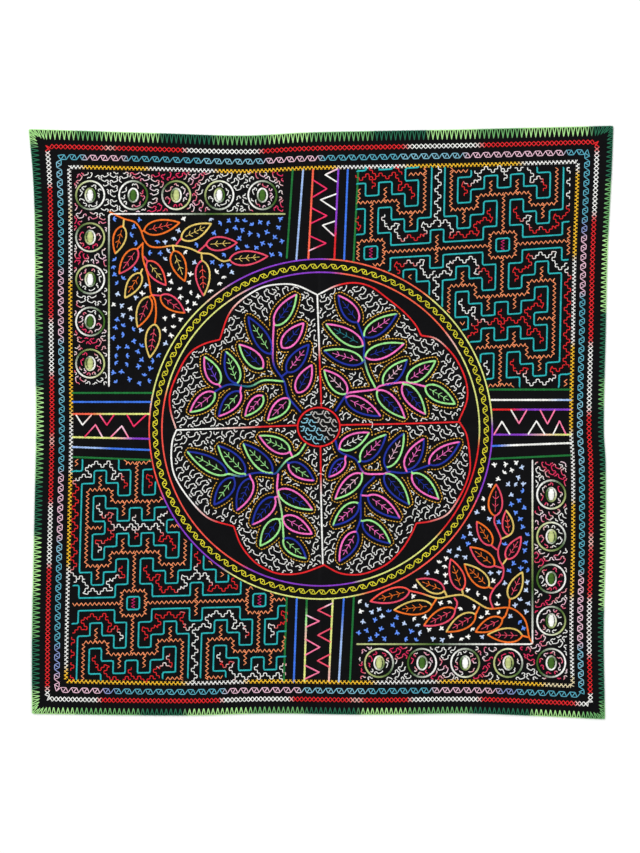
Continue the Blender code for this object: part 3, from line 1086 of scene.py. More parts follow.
# The maze of the two other corners, on a grid of cells. Its lines are charted for a quarter of the repeat,
# 5 cells by 6, with a small square at the corner; they mirror about that corner's two lines. A line that
# lies on a mirror line is drawn once: the rows are (points, the axis it is not mirrored along or "")
MAZE_REPEAT = (10, 12)
MAZE_ZIGZAGS = [
    ([(0.97, 0), (0.97, 0.97), (0, 0.97)], ""),
    ([(1.0, 0), (5, 0)], "y"),
    ([(5, 0), (5, 1.1)], "x"),
    ([(0, 1.0), (0, 4)], "x"),
    ([(0, 4), (2, 4), (2, 3), (4, 3), (4, 6)], ""),
    ([(4, 6), (2.75, 6)], "y"),
    ([(1, 4), (1, 5.1)], ""),
    ([(3, 3), (3, 1.9)], ""),
]
MAZE_LINES = [
    ([(0.5, 0), (0.5, 0.5), (0, 0.5)], ""),
    ([(5, 1.5), (4.5, 1.5), (4.5, 0.5), (1.5, 0.5), (1.5, 1.5), (0.5, 1.5), (0.5, 3.5), (1.5, 3.5),
      (1.5, 2.5),
      (2.5, 2.5), (2.5, 1.5), (3.5, 1.5), (3.5, 2.5), (4.5, 2.5), (4.5, 6)], ""),
    ([(0, 4.5), (0.5, 4.5), (0.5, 5.5), (1.5, 5.5), (1.5, 4.5), (2.5, 4.5), (2.5, 3.5), (3.5, 3.5),
      (3.5, 5.5),
      (2.5, 5.5), (2.5, 6)], ""),
]
MAZE_WAVES = [
    ([(5, 2), (5, 10)], "yx"),
    ([(5, 2), (4, 2), (4, 1), (2, 1), (2, 2), (1, 2), (1, 3)], ""),
    ([(-2, 6), (2, 6)], "yx"),
    ([(2, 6), (2, 5), (3, 5), (3, 4)], ""),
    ([(0, 6), (0, 5)], "x"),
    ([(0, -0.38), (0, 0.38)], "xy"),
]
# Where the waves of the mazes are worked in white, as (left, low, right, high); elsewhere they are red
MAZE_WHITES = [
    (124.8, 233.4, 160.8, 311.4), (116.4, 228.6, 162.0, 251.4), (70.8, 219.0, 102.0, 259.8),
    (174.0, 286.2, 262.8, 311.4), (289.2, 259.8, 307.2, 311.4), (243.6, 235.8, 264.0, 253.8),
    (104.4, 190.2, 217.2, 204.6), (116.4, 142.2, 159.6, 192.6), (157.2, 165.0, 188.4, 198.6),
    (255.6, 177.0, 307.2, 207.0), (162.0, 121.8, 200.4, 161.4), (186.0, 41.4, 207.6, 89.4),
    (236.4, 31.8, 289.2, 58.2), (-296.4, -72.6, -240.0, -40.2), (-270.0, -112.2, -256.8, -81.0),
    (-249.6, -130.2, -184.8, -112.2), (-200.4, -129.0, -183.6, -97.8), (-272.4, -167.4, -258.0, -147.0),
    (-301.2, -214.2, -243.6, -178.2), (-172.8, -191.4, -118.8, -172.2), (-171.6, -201.0, -157.2, -181.8),
    (-147.6, -262.2, -90.0, -220.2), (-160.8, -262.2, -138.0, -229.8), (-160.8, -321.0, -145.2, -246.6),
    (-248.4, -268.2, -234.0, -250.2), (-200.4, -292.2, -183.6, -261.0), (-132.0, -286.2, -114.0, -268.2),
    (-111.6, -310.2, -42.0, -289.8), (-80.4, -297.0, -62.4, -271.8), (-68.4, -262.2, -54.0, -226.2),
]
MAZES = [
    {"centre": (60.0, 203.4), "cell": (15.84, 15.24), "rise": 3.5, "lean": 1.2, "left_share": 1.0,
     "limits": (41.8, 41.5, 299.5, 307.4)},
    {"centre": (-225.0, -216.6), "cell": (15.14, 15.24), "rise": 1.4, "lean": 1.6, "left_share": 0.96,
     "limits": (-299.0, -310.0, -41.0, -43.6)},
]

# The two leafy corners have a band of fret along their outer sides, with plain roundels in it. One corner's
# is charted here and the other's is the same, turned half round
ROUNDELS = {
    "turned_about": (-0.1, -7.9),
    "radius": 17.0,
    "oval": {"width": 5.8, "length": 8.4},
    "centres": [(-276.5, 272.5), (-224.9, 272.5), (-173.3, 272.5), (-121.6, 272.5), (-70.0, 272.5),
                (-276.5, 222.0), (-276.5, 171.5), (-276.5, 121.0), (-276.5, 70.6)],
    "inner_corner": (-254.0, 250.0),
    "yarns": [
        ["white", "pale_olive", "olive"], ["olive", "white", "white"], ["pale_olive", "olive", "white"],
    ],
    "fill": ["white", "white", "berry", "crimson", "crimson", "white", "pink", "crimson", "white",
             "white"],
}
TUFT_TRIES = 5000
TUFT_SPACING = 8.8
TUFT_OFF_RING = 211.5
TUFT_OFF_SPRAYS = 4.8
TUFT_TURNS = [-0.95, 0.05, 1.0, 3.1]
CORNER_LIMITS = [(-299.0, 42.0, -41.5, 303.5), (-299.0, 28.0, -42.0, 296.0)]


# Materials

# Looks of the yarn: lengths of a turn of its twist in yarn widths, lightness as parts of a whole (the ply
# share is painted shade that darkens the grooves of the twist), bump in mm
YARN = {
    "twist": 1.6, "plain_light": 0.80, "stitch_light": 0.24, "ply_light": 0.12,
    "bump": 0.25, "bump_strength": 0.5, "roughness": 0.62, "specular": 0.3,
}
# Looks of the ground cloth: sizes in mm, noise in turns a metre, darkest and lightest colour
COTTON = {
    "thread": 0.62, "slubs": 900.0, "mottle": 60.0, "bump": 0.3, "bump_strength": 0.6,
    "roughness": 0.92, "specular": 0.04,
    "dark": (0.0010, 0.0010, 0.0013, 1.0), "light": (0.0085, 0.0085, 0.0094, 1.0),
}


def new_material(name):
    material = bpy.data.materials.new(name)
    material.use_nodes = True
    wiring = Wiring(material.node_tree)
    return material, wiring, material.node_tree.nodes["Principled BSDF"]


def yarn_material(name, laid):
    """Cotton yarn of two plies, in its stitch's colour, a little lighter or darker from stitch to stitch at
    random, with painted shade in the grooves of its twist.
    """
    material, wiring, shader = new_material(name)
    twist = 2 * math.pi / YARN["twist"]
    if laid:
        phase = wiring.attribute("travelled") * twist + wiring.attribute("turned") * (2 * math.pi)
    else:
        mark = wiring.add("ShaderNodeUVMap", {"uv_map": "ply"})
        along, around = wiring.split(mark)
        phase = along * wiring.attribute("slimness") * twist + around * (4 * math.pi)
    plies = phase.sine() * 0.5 + 0.5
    # Painted shade: the colour is darker in the grooves of the twist, where the ply pattern is low; the
    # lightness from stitch to stitch is at random
    light = YARN["plain_light"] + wiring.attribute("shade") * YARN["stitch_light"] + plies * YARN["ply_light"]
    tint = wiring.attribute("tint", "Color")
    whole = wiring.add("ShaderNodeVectorMath", {"operation": "SCALE"}, {"Vector": tint, "Scale": light})
    finish_material(wiring, shader, YARN, whole, plies)
    return material


def finish_material(wiring, shader, looks, colour, height):
    """Feeds a cloth's or yarn's colour and bump to its shader, with its shine."""
    sockets = {"Strength": looks["bump_strength"], "Distance": looks["bump"] * MM, "Height": height}
    wiring.feed(shader.inputs["Base Color"], colour)
    wiring.feed(shader.inputs["Normal"], wiring.add("ShaderNodeBump", {}, sockets))
    shader.inputs["Roughness"].default_value = looks["roughness"]
    shader.inputs["Specular IOR Level"].default_value = looks["specular"]


def ground_material():
    """Charcoal plain-woven cotton, with slubs, a faint mottle, and its two fold lines raised by bump and
    lighter in colour: a painted highlight.
    """
    material, wiring, shader = new_material("ground_weave")
    place = wiring.add("ShaderNodeTexCoord", out="Object")
    x, y = wiring.split(place)
    slubs = wiring.add("ShaderNodeTexNoise", {}, {"Vector": place, "Scale": COTTON["slubs"], "Detail": 2.0})
    mottle = wiring.add("ShaderNodeTexNoise", {}, {"Vector": place, "Scale": COTTON["mottle"], "Detail": 3.0})
    turns = 2 * math.pi / (COTTON["thread"] * MM)
    warp = (x * turns + slubs * 2.0).sine()
    weft = (y * turns + slubs * 2.0).sine()
    weave = warp * weft * 0.5 + 0.5
    # Painted highlight: the colour is lighter along the two fold lines, as if their ridges caught the light;
    # the same values also raise them by bump
    crease_relief_and_highlight = 0.0
    for coordinate, crease in zip((x, y), CREASES):
        away = (coordinate - crease["at"] * MM) / (crease["width"] * MM)
        crease_relief_and_highlight = crease_relief_and_highlight + 2.718 ** (away * away * -1.0) * crease["height"]
    light = weave * 0.30 + slubs * 0.45 + mottle * 0.35 + crease_relief_and_highlight
    sockets = {"Factor": light, "A": COTTON["dark"], "B": COTTON["light"]}
    colour = wiring.add("ShaderNodeMix", {"data_type": "RGBA"}, sockets, out="Result")
    finish_material(wiring, shader, COTTON, colour, weave + slubs * 0.8 + crease_relief_and_highlight * 2.0)
    return material


# The ground cloth

def corner_shift(along, width):
    """How a rim point this far along its side is moved onto the corner's arc: (inward, along)."""
    distance = min(along, width - along)
    if distance >= CORNER_RADIUS:
        return 0.0, 0.0
    angle = (1 - distance / CORNER_RADIUS) * math.radians(45)
    inward = CORNER_RADIUS * (1 - math.cos(angle))
    shift = CORNER_RADIUS * (1 - math.sin(angle)) - distance
    return inward, shift if along < width / 2 else -shift


def sheet_points(shares):
    """The plan of the cloth as a grid of points, spread between its four sides."""
    top, bottom = side_points("top", shares), side_points("bottom", shares)
    left, right = side_points("left", shares), side_points("right", shares)
    u = shares[None, :, None]
    v = shares[:, None, None]
    low_left, low_right, high_left, high_right = (
        np.array(CORNERS[name]) for name in ("bottom_left", "bottom_right", "top_left", "top_right")
    )
    square = (
        (1 - u) * (1 - v) * low_left + u * (1 - v) * low_right + (1 - u) * v * high_left + u * v * high_right
    )
    return (1 - v) * bottom[None] + v * top[None] + (1 - u) * left[:, None] + u * right[:, None] - square


def make_ground():
    """The cloth: a closed thin sheet with a hem and a rounded rim."""
    width = CORNERS["top_right"][0] - CORNERS["top_left"][0]
    cells = int(round((width - 2 * RIM_STEPS[-1]) / GRID_STEP))
    field = np.linspace(RIM_STEPS[-1], width - RIM_STEPS[-1], cells + 1)[1:-1]
    stations = np.array([*RIM_STEPS, *field, *(width - step for step in reversed(RIM_STEPS))])
    grid = sheet_points(stations / width)
    count = len(stations)
    for index, along in enumerate(stations):
        inward, shift = corner_shift(along, width)
        grid[0, index] += (shift, inward)
        grid[-1, index] += (shift, -inward)
        if 0 < index < count - 1:
            grid[index, 0] += (inward, shift)
            grid[index, -1] += (-inward, shift)
    plan = grid.reshape(-1, 2)
    row, column = np.divmod(np.arange(count * count), count)
    from_rim = np.minimum.reduce([row, column, count - 1 - row, count - 1 - column])
    upper = face_height(plan) - np.where(from_rim == 0, RIM_DROP, 0.0)
    lower = np.where(from_rim < 6, UNDERSIDE_GAP, FIELD_GAP) + np.where(from_rim == 0, RIM_RISE, 0.0)
    places = np.vstack([in_metres(plan, upper), in_metres(plan, lower)])
    total = count * count
    faces = []
    for i in range(count - 1):
        for j in range(count - 1):
            a = i * count + j
            faces.append((a, a + 1, a + count + 1, a + count))
            faces.append((total + a, total + a + count, total + a + count + 1, total + a + 1))
    around = (
        list(range(count)) + [i * count + count - 1 for i in range(1, count)]
        + [total - 1 - i for i in range(1, count)] + [(count - 1 - i) * count for i in range(1, count - 1)]
    )
    for near, far in zip(around, around[1:] + around[:1]):
        faces.append((near, total + near, total + far, far))
    mesh = bpy.data.meshes.new("ground")
    mesh.from_pydata(places.tolist(), [], faces)
    mesh.materials.append(ground_material())
    mesh.shade_smooth()
    print("ground triangles", 2 * len(faces))
    return add_object("ground", mesh)


# The sewing of the border

# Stitches of one turn of the scroll, as (start, end, lift over the face in mm)
SCROLL_STITCHES = [
    ("a", "b", 0.3), ("b", "d", 0.5), ("c", "d", 0.3), ("a", "c", 0.5), ("b", "c", 0.8), ("d", "next", 0.35),
]


def nearest_side(points):
    """The number in SIDE_ORDER of the side that each place is nearest to."""
    x, y = points[:, 0], points[:, 1]
    return np.argmin(np.stack([350 - y, 350 + y, 350 + x, 347 - x]), axis=0)


def band_inset(points, base):
    """How far in a band lies at these places: a little deeper towards the head and the left."""
    x, y = points[:, 0], points[:, 1]
    deeper = np.where(y > 0, BAND_DRIFT["top"], BAND_DRIFT["bottom"]) * np.clip(np.abs(y) / 340, 0, 1) ** 4
    across = np.where(x < 0, BAND_DRIFT["left"], BAND_DRIFT["right"]) * np.clip(np.abs(x) / 340, 0, 1) ** 4
    return base + (deeper + across) * base / 40


def band_path(inset, rounding=3.0):
    """A closed line round the cloth at this distance in from its edge, clockwise from the top left."""
    order = [("top", 1), ("right", -1), ("bottom", -1), ("left", 1)]
    pieces = []
    for name, step in order:
        line = SIDE_LINES[name][::step]
        line = line - np.array(SIDES[name]["outward"]) * band_inset(line, inset)[:, None]
        wanted = band_inset(line, inset)
        pieces.append(line[inset_from_edge(line) > wanted - 0.07 * abs(inset) - 0.05])
    ring = Path(np.vstack(pieces), closed=True)
    along = np.arange(0, ring.length, 1.0)
    soft = sum(ring.at(along + shift) for shift in np.linspace(-rounding, rounding, 5)) / 5
    return Path(soft, closed=True)


def band_colours(name, points):
    """The yarn's colour in a band at these places, from the runs of the nearest side."""
    nearest = nearest_side(points)
    colours = np.empty((len(points), 3))
    for number, side in enumerate(SIDE_ORDER):
        chosen = nearest == number
        where = points[chosen, 0 if side in ("top", "bottom") else 1]
        colours[chosen] = mixed_runs(BORDERS[name][side], where, 9.0)
    return colours


def sew_edge(sewing, rim_yarn):
    """Stitches in pairs over the edge, all round, and the yarn they cover it with."""
    over, share, height = np.array(EDGE_COURSE).T
    for name in SIDES:
        line = Path(SIDE_LINES[name])
        count = int(round(line.length / EDGE["pitch"]))
        middles = (np.arange(count) + 0.5) * line.length / count
        inward = -np.array(SIDES[name]["outward"], float)
        depth = BORDERS["edge"]["depth"][name]
        from_end = np.minimum(middles, line.length - middles)
        fanned = depth + from_end * (1 - depth / EDGE["fan"]) - from_end
        fanned = np.where(middles < EDGE["fan"], fanned, -fanned)
        tips = middles + np.where(from_end < EDGE["fan"], fanned, 0)
        steps = over + share * depth
        for middle, tip in zip(middles, tips):
            wander = 0.9 * math.sin(middle * 12.9898) * math.sin(middle * 3.1)
            foot = line.at(tip) + inward * (depth + wander)
            colour = band_colours("edge", foot[None])[0]
            for side in (-EDGE["spread"], EDGE["spread"]):
                rim = line.at(middle + side * min(1.0, from_end[0] + 9))
                plan = rim + measured(rim, foot)[1] * steps[:, None]
                tops = face_height(plan)
                on_face = np.arange(len(steps)) >= EDGE_ROUND_RIM
                raised = np.where(on_face, tops[6] - HEM_THICKNESS, 0.0)
                sewing.line(plan, colour, height + raised - tops)
    rim = band_path(-0.15, rounding=2.0)
    points, along = rim.spaced(1.3)
    turns = 2 * math.pi * along / EDGE["pitch"]
    places = rim.place(along, 0.25 + 0.1125 * np.sin(turns))[:-1]
    heights = 1.5 + 0.35 * np.cos(turns[:-1]) - face_height(places)
    rim_yarn.line(places, band_colours("edge", points)[:-1], heights, closed=True)


def band_steps(name, path):
    """Where each repeat of a band starts along its path, closer on some sides than on others."""
    places, along = path.spaced(2.0)
    pitches = np.array([BORDERS[name]["pitch"][side] for side in SIDE_ORDER])[nearest_side(places)]
    repeats = np.concatenate([[0.0], np.cumsum(np.diff(along) / pitches[:-1])])
    count = int(round(repeats[-1]))
    return np.interp(np.arange(count + 1) * repeats[-1] / count, repeats, along)


def sew_crosses(sewing):
    """The open row of crosses: two plump diagonals to each."""
    path = band_path(BORDERS["crosses"]["inset"])
    starts_at = band_steps("crosses", path)
    middles = (starts_at[:-1] + starts_at[1:]) / 2
    colours = band_colours("crosses", path.at(middles))
    tall = 2.85
    for rise, lift in ((1, 0.3), (-1, 0.95)):
        starts = path.place(starts_at[:-1], np.full(len(middles), -tall * rise))
        ends = path.place(starts_at[1:], np.full(len(middles), tall * rise))
        sewing.stitches(starts, ends, colours, lift)


def sew_scroll(sewing, path, starts_at, chart, colours_at):
    """The scroll: a leaning loop with a slanting bar in it, and a long slant on to the next."""
    steps, shares = np.diff(starts_at), chart["shares"]
    corners = {
        "a": (0.0, 0.5), "b": (shares[0], 0.5), "c": (shares[1], -0.5), "d": (shares[2], -0.5),
        "next": (1.0, 0.5),
    }
    places = {
        key: path.place(starts_at[:-1] + share * steps, np.full(len(steps), side * chart["height"]))
        for key, (share, side) in corners.items()
    }
    for start, end, lift in SCROLL_STITCHES:
        middle = (places[start] + places[end]) / 2
        sewing.stitches(places[start], places[end], colours_at(middle), lift)


def sew_herringbone(sewing):
    """The close herringbone row inside the scroll."""
    path = band_path(BORDERS["herringbone"]["inset"])
    starts_at = band_steps("herringbone", path)
    along, step = starts_at[:-1], np.diff(starts_at)
    colours = band_colours("herringbone", path.at(along))
    tall = 2.3
    for shift, rise, lift in ((0.0, 1, 0.3), (0.5, -1, 0.9)):
        starts = path.place(along + (shift - 0.5) * step, np.full(len(along), -tall * rise))
        ends = path.place(along + (shift + 0.5) * step, np.full(len(along), tall * rise))
        sewing.stitches(starts, ends, colours, lift)


# The sewing of the middle

def colours_along(names, shares):
    """Colours blended evenly through a list of names."""
    values = np.array([TINTS[name] for name in names])
    if len(names) == 1:
        return np.repeat(values, len(shares), axis=0)
    knots = (np.arange(len(names)) + 0.5) / len(names)
    return blended(shares, knots, values)


def chain_line(sewing, points, names):
    """A line of chain stitch through these points."""
    places, along = Path(points).spaced(1.0)
    sewing.line(places, colours_along(names, along / along[-1]), CHAIN_LIFT)


def joined_stems(stems):
    """Stems that follow on from one another, as one list of points with a colour at each."""
    joined = []
    for colour, points in stems:
        if joined and joined[-1][1][-1] == points[0]:
            joined[-1][0].extend([colour] * (len(points) - 1))
            joined[-1][1].extend(points[1:])
        else:
            joined.append(([colour] * len(points), list(points)))
    return joined


def ring_points(centre, radii, count=720):
    """An oval, clockwise from its head, and the degrees of each point."""
    degrees = np.arange(count) * 360.0 / count
    angles = np.radians(degrees)
    return np.array(centre) + np.column_stack([radii[0] * np.sin(angles), radii[1] * np.cos(angles)]), degrees


def sew_ring(sewing, scroll):
    for name in ("outer", "inner"):
        points, degrees = ring_points(RING["centre"], RING[name]["radii"])
        runs = RING[name]["runs"]
        sewing.line(points, mixed_runs(runs + [(360, runs[0][1])], degrees, 5.0), CHAIN_LIFT, closed=True)
    points, degrees = ring_points(RING["centre"], RING["scroll"]["radii"])
    path = Path(points, closed=True)
    count = int(round(path.length / RING["scroll"]["period"]))

    def acid(places):
        tone = 0.5 + 0.5 * np.sin(places[:, 0] * 0.05 + places[:, 1] * 0.033)
        return TINTS["acid"] * (0.88 + 0.12 * tone[:, None])

    sew_scroll(scroll, path, np.linspace(0, path.length, count + 1), RING["scroll"], acid)


# A leaf: its width as a share of its length, and at most so many mm; a vein's first stitch, its run and its
# side stitches as shares of the length
LEAF = {"width": 0.44, "widest": 17.0}
VEIN = {"start": 0.13, "run": 0.66, "few": (0.30, 0.54), "many": (0.26, 0.44, 0.62), "long_leaf": 40}


def leaf_outline(base, tip, width, count=20):
    """The left and right side of a leaf from base to tip: round shouldered low down, pointed at its tip."""
    length, heading, left = measured(base, tip)
    t = np.linspace(0, 1, count)
    near, far, end = 3 * t * (1 - t) ** 2, 3 * t ** 2 * (1 - t), t ** 3
    spine = base + heading * ((0.09 * near + 0.50 * far + end) * length)[:, None]
    swell = (0.54 * near + 0.78 * far) * width
    return spine + left * swell[:, None], spine - left * swell[:, None]


def sew_vein(sewing, base, tip, width, colour, pitch=3.5):
    """A leaf's vein: a few short stitches up its middle, and two or three pairs of slanting ones."""
    length, heading, left = measured(base, tip)
    count = max(int(VEIN["run"] * length / pitch), 3)
    along = (VEIN["start"] + VEIN["run"] * np.arange(count + 1) / count) * length
    spine = base + heading * along[:, None]
    sewing.stitches(spine[:-1] + heading * 0.35, spine[1:], colour, 0.2)
    nodes = VEIN["few"] if length < VEIN["long_leaf"] else VEIN["many"]
    reach = min(0.22 * width, 3.8)
    for node in nodes:
        root = base + heading * node * length
        for side in (1, -1):
            end = root + heading * 0.85 * reach + left * side * reach
            sewing.stitches(root + left * side * 0.4, end, colour, 0.35)


class SprayWork:
    """The outlines of all leaves and stems so far, for what must keep off them."""

    def __init__(self):
        self.lines, self.shapes = [], []

    def close(self):
        self.tree = lines_tree(self.lines)

    def away(self, points, reach):
        """Which points lie at least this far from every outline and outside every leaf."""
        kept = np.ones(len(points), bool)
        for shape in self.shapes:
            kept &= ~inside(points, shape)
        for index in np.flatnonzero(kept):
            kept[index] = distance_to(self.tree, points[index]) >= reach
        return kept


def sew_sprays(chains, fine, work, names):
    """Leaf sprays: stems and leaves in chain stitch, with veins."""
    for spray in (SPRAYS[name] for name in names):
        stems = []
        for colours, points in joined_stems(spray["stems"]):
            smooth = smooth_through(points)
            places, along = Path(smooth).spaced(1.0)
            knots = Path(smooth).travelled[::8]
            values = np.array([TINTS[colour] for colour in colours])
            chains.line(places, blended(along, knots, values), CHAIN_LIFT)
            stems.append(places)
            work.lines.append(places)
        stems = np.vstack(stems)
        for base_x, base_y, tip_x, tip_y, colours in spray["leaves"]:
            base, tip = np.array([base_x, base_y]), np.array([tip_x, tip_y])
            first, second, vein = colours.split()
            length = math.dist(base, tip)
            width = min(LEAF["width"] * length, LEAF["widest"])
            left, right = leaf_outline(base, tip, width)
            away = np.linalg.norm(stems - base, axis=1)
            nearest = int(np.argmin(away))
            if 1.5 < away[nearest] < 9.0:
                chain_line(chains, [stems[nearest], base], [first])
                work.lines.append(np.array([stems[nearest], base]))
            chain_line(chains, left, [first])
            chain_line(chains, right, [second])
            sew_vein(fine, base, tip, width, TINTS[vein])
            work.lines += [left, right]
            work.shapes.append(np.vstack([left, right[::-1]]))


# The running stitch: how far off the sprays, how far apart its stitches start, how long they are, how near
# to one another they may come, and the longest stretch that is sewn, all in mm
ECHO = {"gap": 4.9, "pitch": 3.5, "length": 2.5, "apart": 2.2, "longest": 400}


def sew_echo(sewing, work):
    """A line of running stitch all round the sprays, a little way off them."""
    outlines = work.shapes + [np.vstack([line, line[::-1]]) for line in work.lines]
    gap = ECHO["gap"]
    sewn = np.full((1, 2), 1e6)
    for outline in outlines:
        path = Path(outline, closed=True)
        along = np.arange(0, path.length, 0.6)
        for side in (gap, -gap):
            offset = path.place(along, np.full(len(along), side))
            kept = work.away(offset, gap - 0.35)
            for run in runs_of(kept, 4):
                stretch = Path(offset[run])
                count = int(stretch.length / ECHO["pitch"])
                if count < 1 or stretch.length > ECHO["longest"]:
                    continue
                starts = (np.arange(count) + 0.1) * stretch.length / count
                begins, ends = stretch.at(starts), stretch.at(starts + ECHO["length"])
                middles = (begins + ends) / 2
                apart = np.linalg.norm(middles[:, None] - sewn[None], axis=2).min(axis=1) > ECHO["apart"]
                tone = 0.88 + 0.12 * math.sin(offset[run][0][0] * 0.05 + offset[run][0][1] * 0.04)
                sewing.stitches(begins[apart], ends[apart], TINTS["ochre"] * tone, 0.2)
                sewn = np.vstack([sewn, middles[apart]])


def soften(points, cut=0.2):
    """Cuts each corner of a stepped line into two."""
    early = points[:-1] * (1 - cut) + points[1:] * cut
    late = points[:-1] * cut + points[1:] * (1 - cut)
    return np.stack([early, late], axis=1).reshape(-1, 2)


def drift(points):
    """The small wanderings of lines that are sewn by eye."""
    x, y = points[:, 0], points[:, 1]
    aside = np.column_stack([np.sin(x * 0.071 + y * 0.053), np.sin(y * 0.067 - x * 0.049 + 1.0)])
    return points + 1.3 * aside


class FretFill:
    """Fills a region with rows of fret, and then what is left bare with short lengths of it."""

    def __init__(self, sewing, seeds, free, scale, gap, colour_of):
        self.sewing, self.seeds, self.free = sewing, seeds, free
        self.scale, self.gap, self.colour_of = scale, gap, colour_of
        self.centres = np.array([seed[:2] for seed in seeds])
        self.done = np.full((1, 2), 1e6)

    def sew(self, points):
        line = soften(points, 0.2)
        self.sewing.line(line, self.colour_of(line), FRET_LIFT, sunk=0.5)
        self.done = np.vstack([self.done, points])

    def rows(self, shortest=4):
        half = FRET_PERIOD * self.scale / 2
        for number, (x, y, degrees, reach) in enumerate(self.seeds):
            angle = math.radians(degrees)
            heading = np.array([math.cos(angle), math.sin(angle)])
            left = np.array([-heading[1], heading[0]])
            for row, offset in enumerate(np.arange(-reach, reach, self.gap)):
                start = np.array([x, y]) + left * offset - heading * (reach + (row % 2) * half)
                points = drift(fret(start, degrees, self.scale, int(reach / half) + 2))
                distance = np.linalg.norm(points[:, None] - self.centres[None], axis=2)
                kept = np.argmin(distance, axis=1) == number
                kept[kept] = self.free(points[kept])
                for run in runs_of(kept, shortest):
                    self.sew(points[run])

    def bare_spots(self, box, apart, shortest=3, step=2.0):
        """Sews a short length of fret over each spot that lies this far from all of it."""
        xs, ys = np.arange(box[0], box[2], step), np.arange(box[1], box[3], step)
        spots = np.stack(np.meshgrid(xs, ys), axis=-1).reshape(-1, 2)
        near = point_tree(self.done)
        spots = spots[[distance_to(near, spot) > apart for spot in spots]]
        spots = spots[self.free(spots)]
        for spot in spots:
            if np.linalg.norm(self.done - spot, axis=1).min() <= apart:
                continue
            nearest = int(np.argmin(np.linalg.norm(self.centres - spot, axis=1)))
            around = self.done[np.abs(self.done - spot).max(axis=1) < 24.0]
            best = None
            for turned in (0, 90, 180, 270):
                points = fret((0.0, 0.0), self.seeds[nearest][2] + turned, self.scale, 1)
                for begun in (2, 6, 10):
                    placed = spot + points - points[begun]
                    away = np.linalg.norm(placed[:, None] - around[None], axis=2).min(axis=1, initial=99.0)
                    kept = away > 0.56 * apart
                    kept[kept] = self.free(placed[kept])
                    if not kept[begun]:
                        continue
                    first, last = begun, begun
                    while first > 0 and kept[first - 1]:
                        first -= 1
                    while last < len(kept) - 1 and kept[last + 1]:
                        last += 1
                    if best is None or last - first > best[0]:
                        best = (last - first, placed[first:last + 1])
            if best is not None and best[0] + 1 >= shortest:
                self.sew(best[1])


def scattered_seeds(box, spacing, angles, seed):
    """Jittered seeds over a box, each with one of these angles."""
    chance = random.Random(seed)
    seeds = []
    x = box[0]
    while x < box[2]:
        y = box[1]
        while y < box[3]:
            seeds.append((
                x + chance.uniform(-0.35, 0.35) * spacing, y + chance.uniform(-0.35, 0.35) * spacing,
                chance.choice(angles) + chance.uniform(-8, 8), spacing * 1.5,
            ))
            y += spacing
        x += spacing
    return seeds


# The corners

def sew_maze(maze, zigzags, lines, waves):
    """One maze corner, kept inside its panel and outside the ring."""
    rise, lean = math.radians(maze["rise"]), math.radians(maze["lean"])
    across = np.array([math.cos(rise), math.sin(rise)]) * maze["cell"][0]
    up = np.array([math.sin(lean), math.cos(lean)]) * maze["cell"][1]
    left, low, right, high = maze["limits"]

    def free(points, margin, over=0.0):
        x, y = points[:, 0], points[:, 1]
        edge = margin - over
        inside_panel = (x > left + edge) & (x < right - edge) & (y > low + edge) & (y < high - edge)
        radii = RING["outer"]["radii"]
        away = np.linalg.norm((points - RING["centre"]) / radii, axis=1) * radii[0]
        return inside_panel & (away > radii[0] + 1.5 + margin)

    for along_x in range(-2, 3):
        for along_y in range(-2, 3):
            for sign_x in (1, -1):
                for sign_y in (1, -1):
                    def placed(points):
                        cells = np.array(points, float) * (sign_x, sign_y)
                        cells += np.array([along_x * MAZE_REPEAT[0], along_y * MAZE_REPEAT[1]])
                        cells[:, 0] *= np.where(cells[:, 0] < 0, maze["left_share"], 1.0)
                        return np.array(maze["centre"]) + cells[:, :1] * across + cells[:, 1:] * up

                    def wanted(once):
                        return not ("x" in once and sign_x < 0) and not ("y" in once and sign_y < 0)

                    for points, once in MAZE_ZIGZAGS:
                        if wanted(once):
                            sew_maze_zigzag(zigzags, placed(points), free)
                    for points, once in MAZE_LINES:
                        places, _ = Path(placed(points)).spaced(1.0)
                        for run in runs_of(free(places, 0.6), 6):
                            lines.line(places[run], TINTS["turquoise"], STRAIGHT_LIFT)
                    for points, once in MAZE_WAVES:
                        if wanted(once):
                            sew_maze_wave(waves, placed(points), free, "xy" in once)


def sew_maze_zigzag(sewing, points, free):
    path = Path(points)
    if path.length < 4 or not free(path.spaced(6.0)[0], -4).any():
        return
    places, _ = zigzag(path, 5.4, 3.9)
    kept = free(places, 0.0)
    both = kept[:-1] & kept[1:]
    sewing.stitches(places[:-1][both], places[1:][both], TINTS["salmon"], STRAIGHT_LIFT)


def sew_maze_wave(sewing, points, free, small):
    path = Path(points)
    if path.length < 4 or not free(path.spaced(6.0)[0], -4).any():
        return
    places, _ = zigzag(path, 3.9, 3.9) if small else stair(path, 3.82, 3.6, steps=2)
    kept = free(places, 0.3, 1.6)
    share = np.zeros((len(places), 1))
    for left, low, right, high in MAZE_WHITES:
        outside = np.maximum(np.abs(places[:, 0] - (left + right) / 2) - (right - left) / 2,
                             np.abs(places[:, 1] - (low + high) / 2) - (high - low) / 2)
        share = np.maximum(share, np.clip(0.5 - outside / 6.0, 0, 1)[:, None])
    colours = TINTS["red"] * (1 - share) + TINTS["white"] * share
    if small:
        colours = np.broadcast_to(TINTS["magenta"], colours.shape)
    for run in runs_of(kept, 4):
        line = places[run] if small else soften(places[run], 0.2)
        tints = colours[run] if small else np.repeat(colours[run], 2, axis=0)[:len(line)]
        sewing.line(line, tints, FRET_LIFT, sunk=0.4)


def turned_half(points):
    """The same places, turned half round the middle of the ring."""
    return 2 * np.array(ROUNDELS["turned_about"]) - np.asarray(points, float)


def as_worked(points):
    """The places as they are."""
    return np.asarray(points, float)


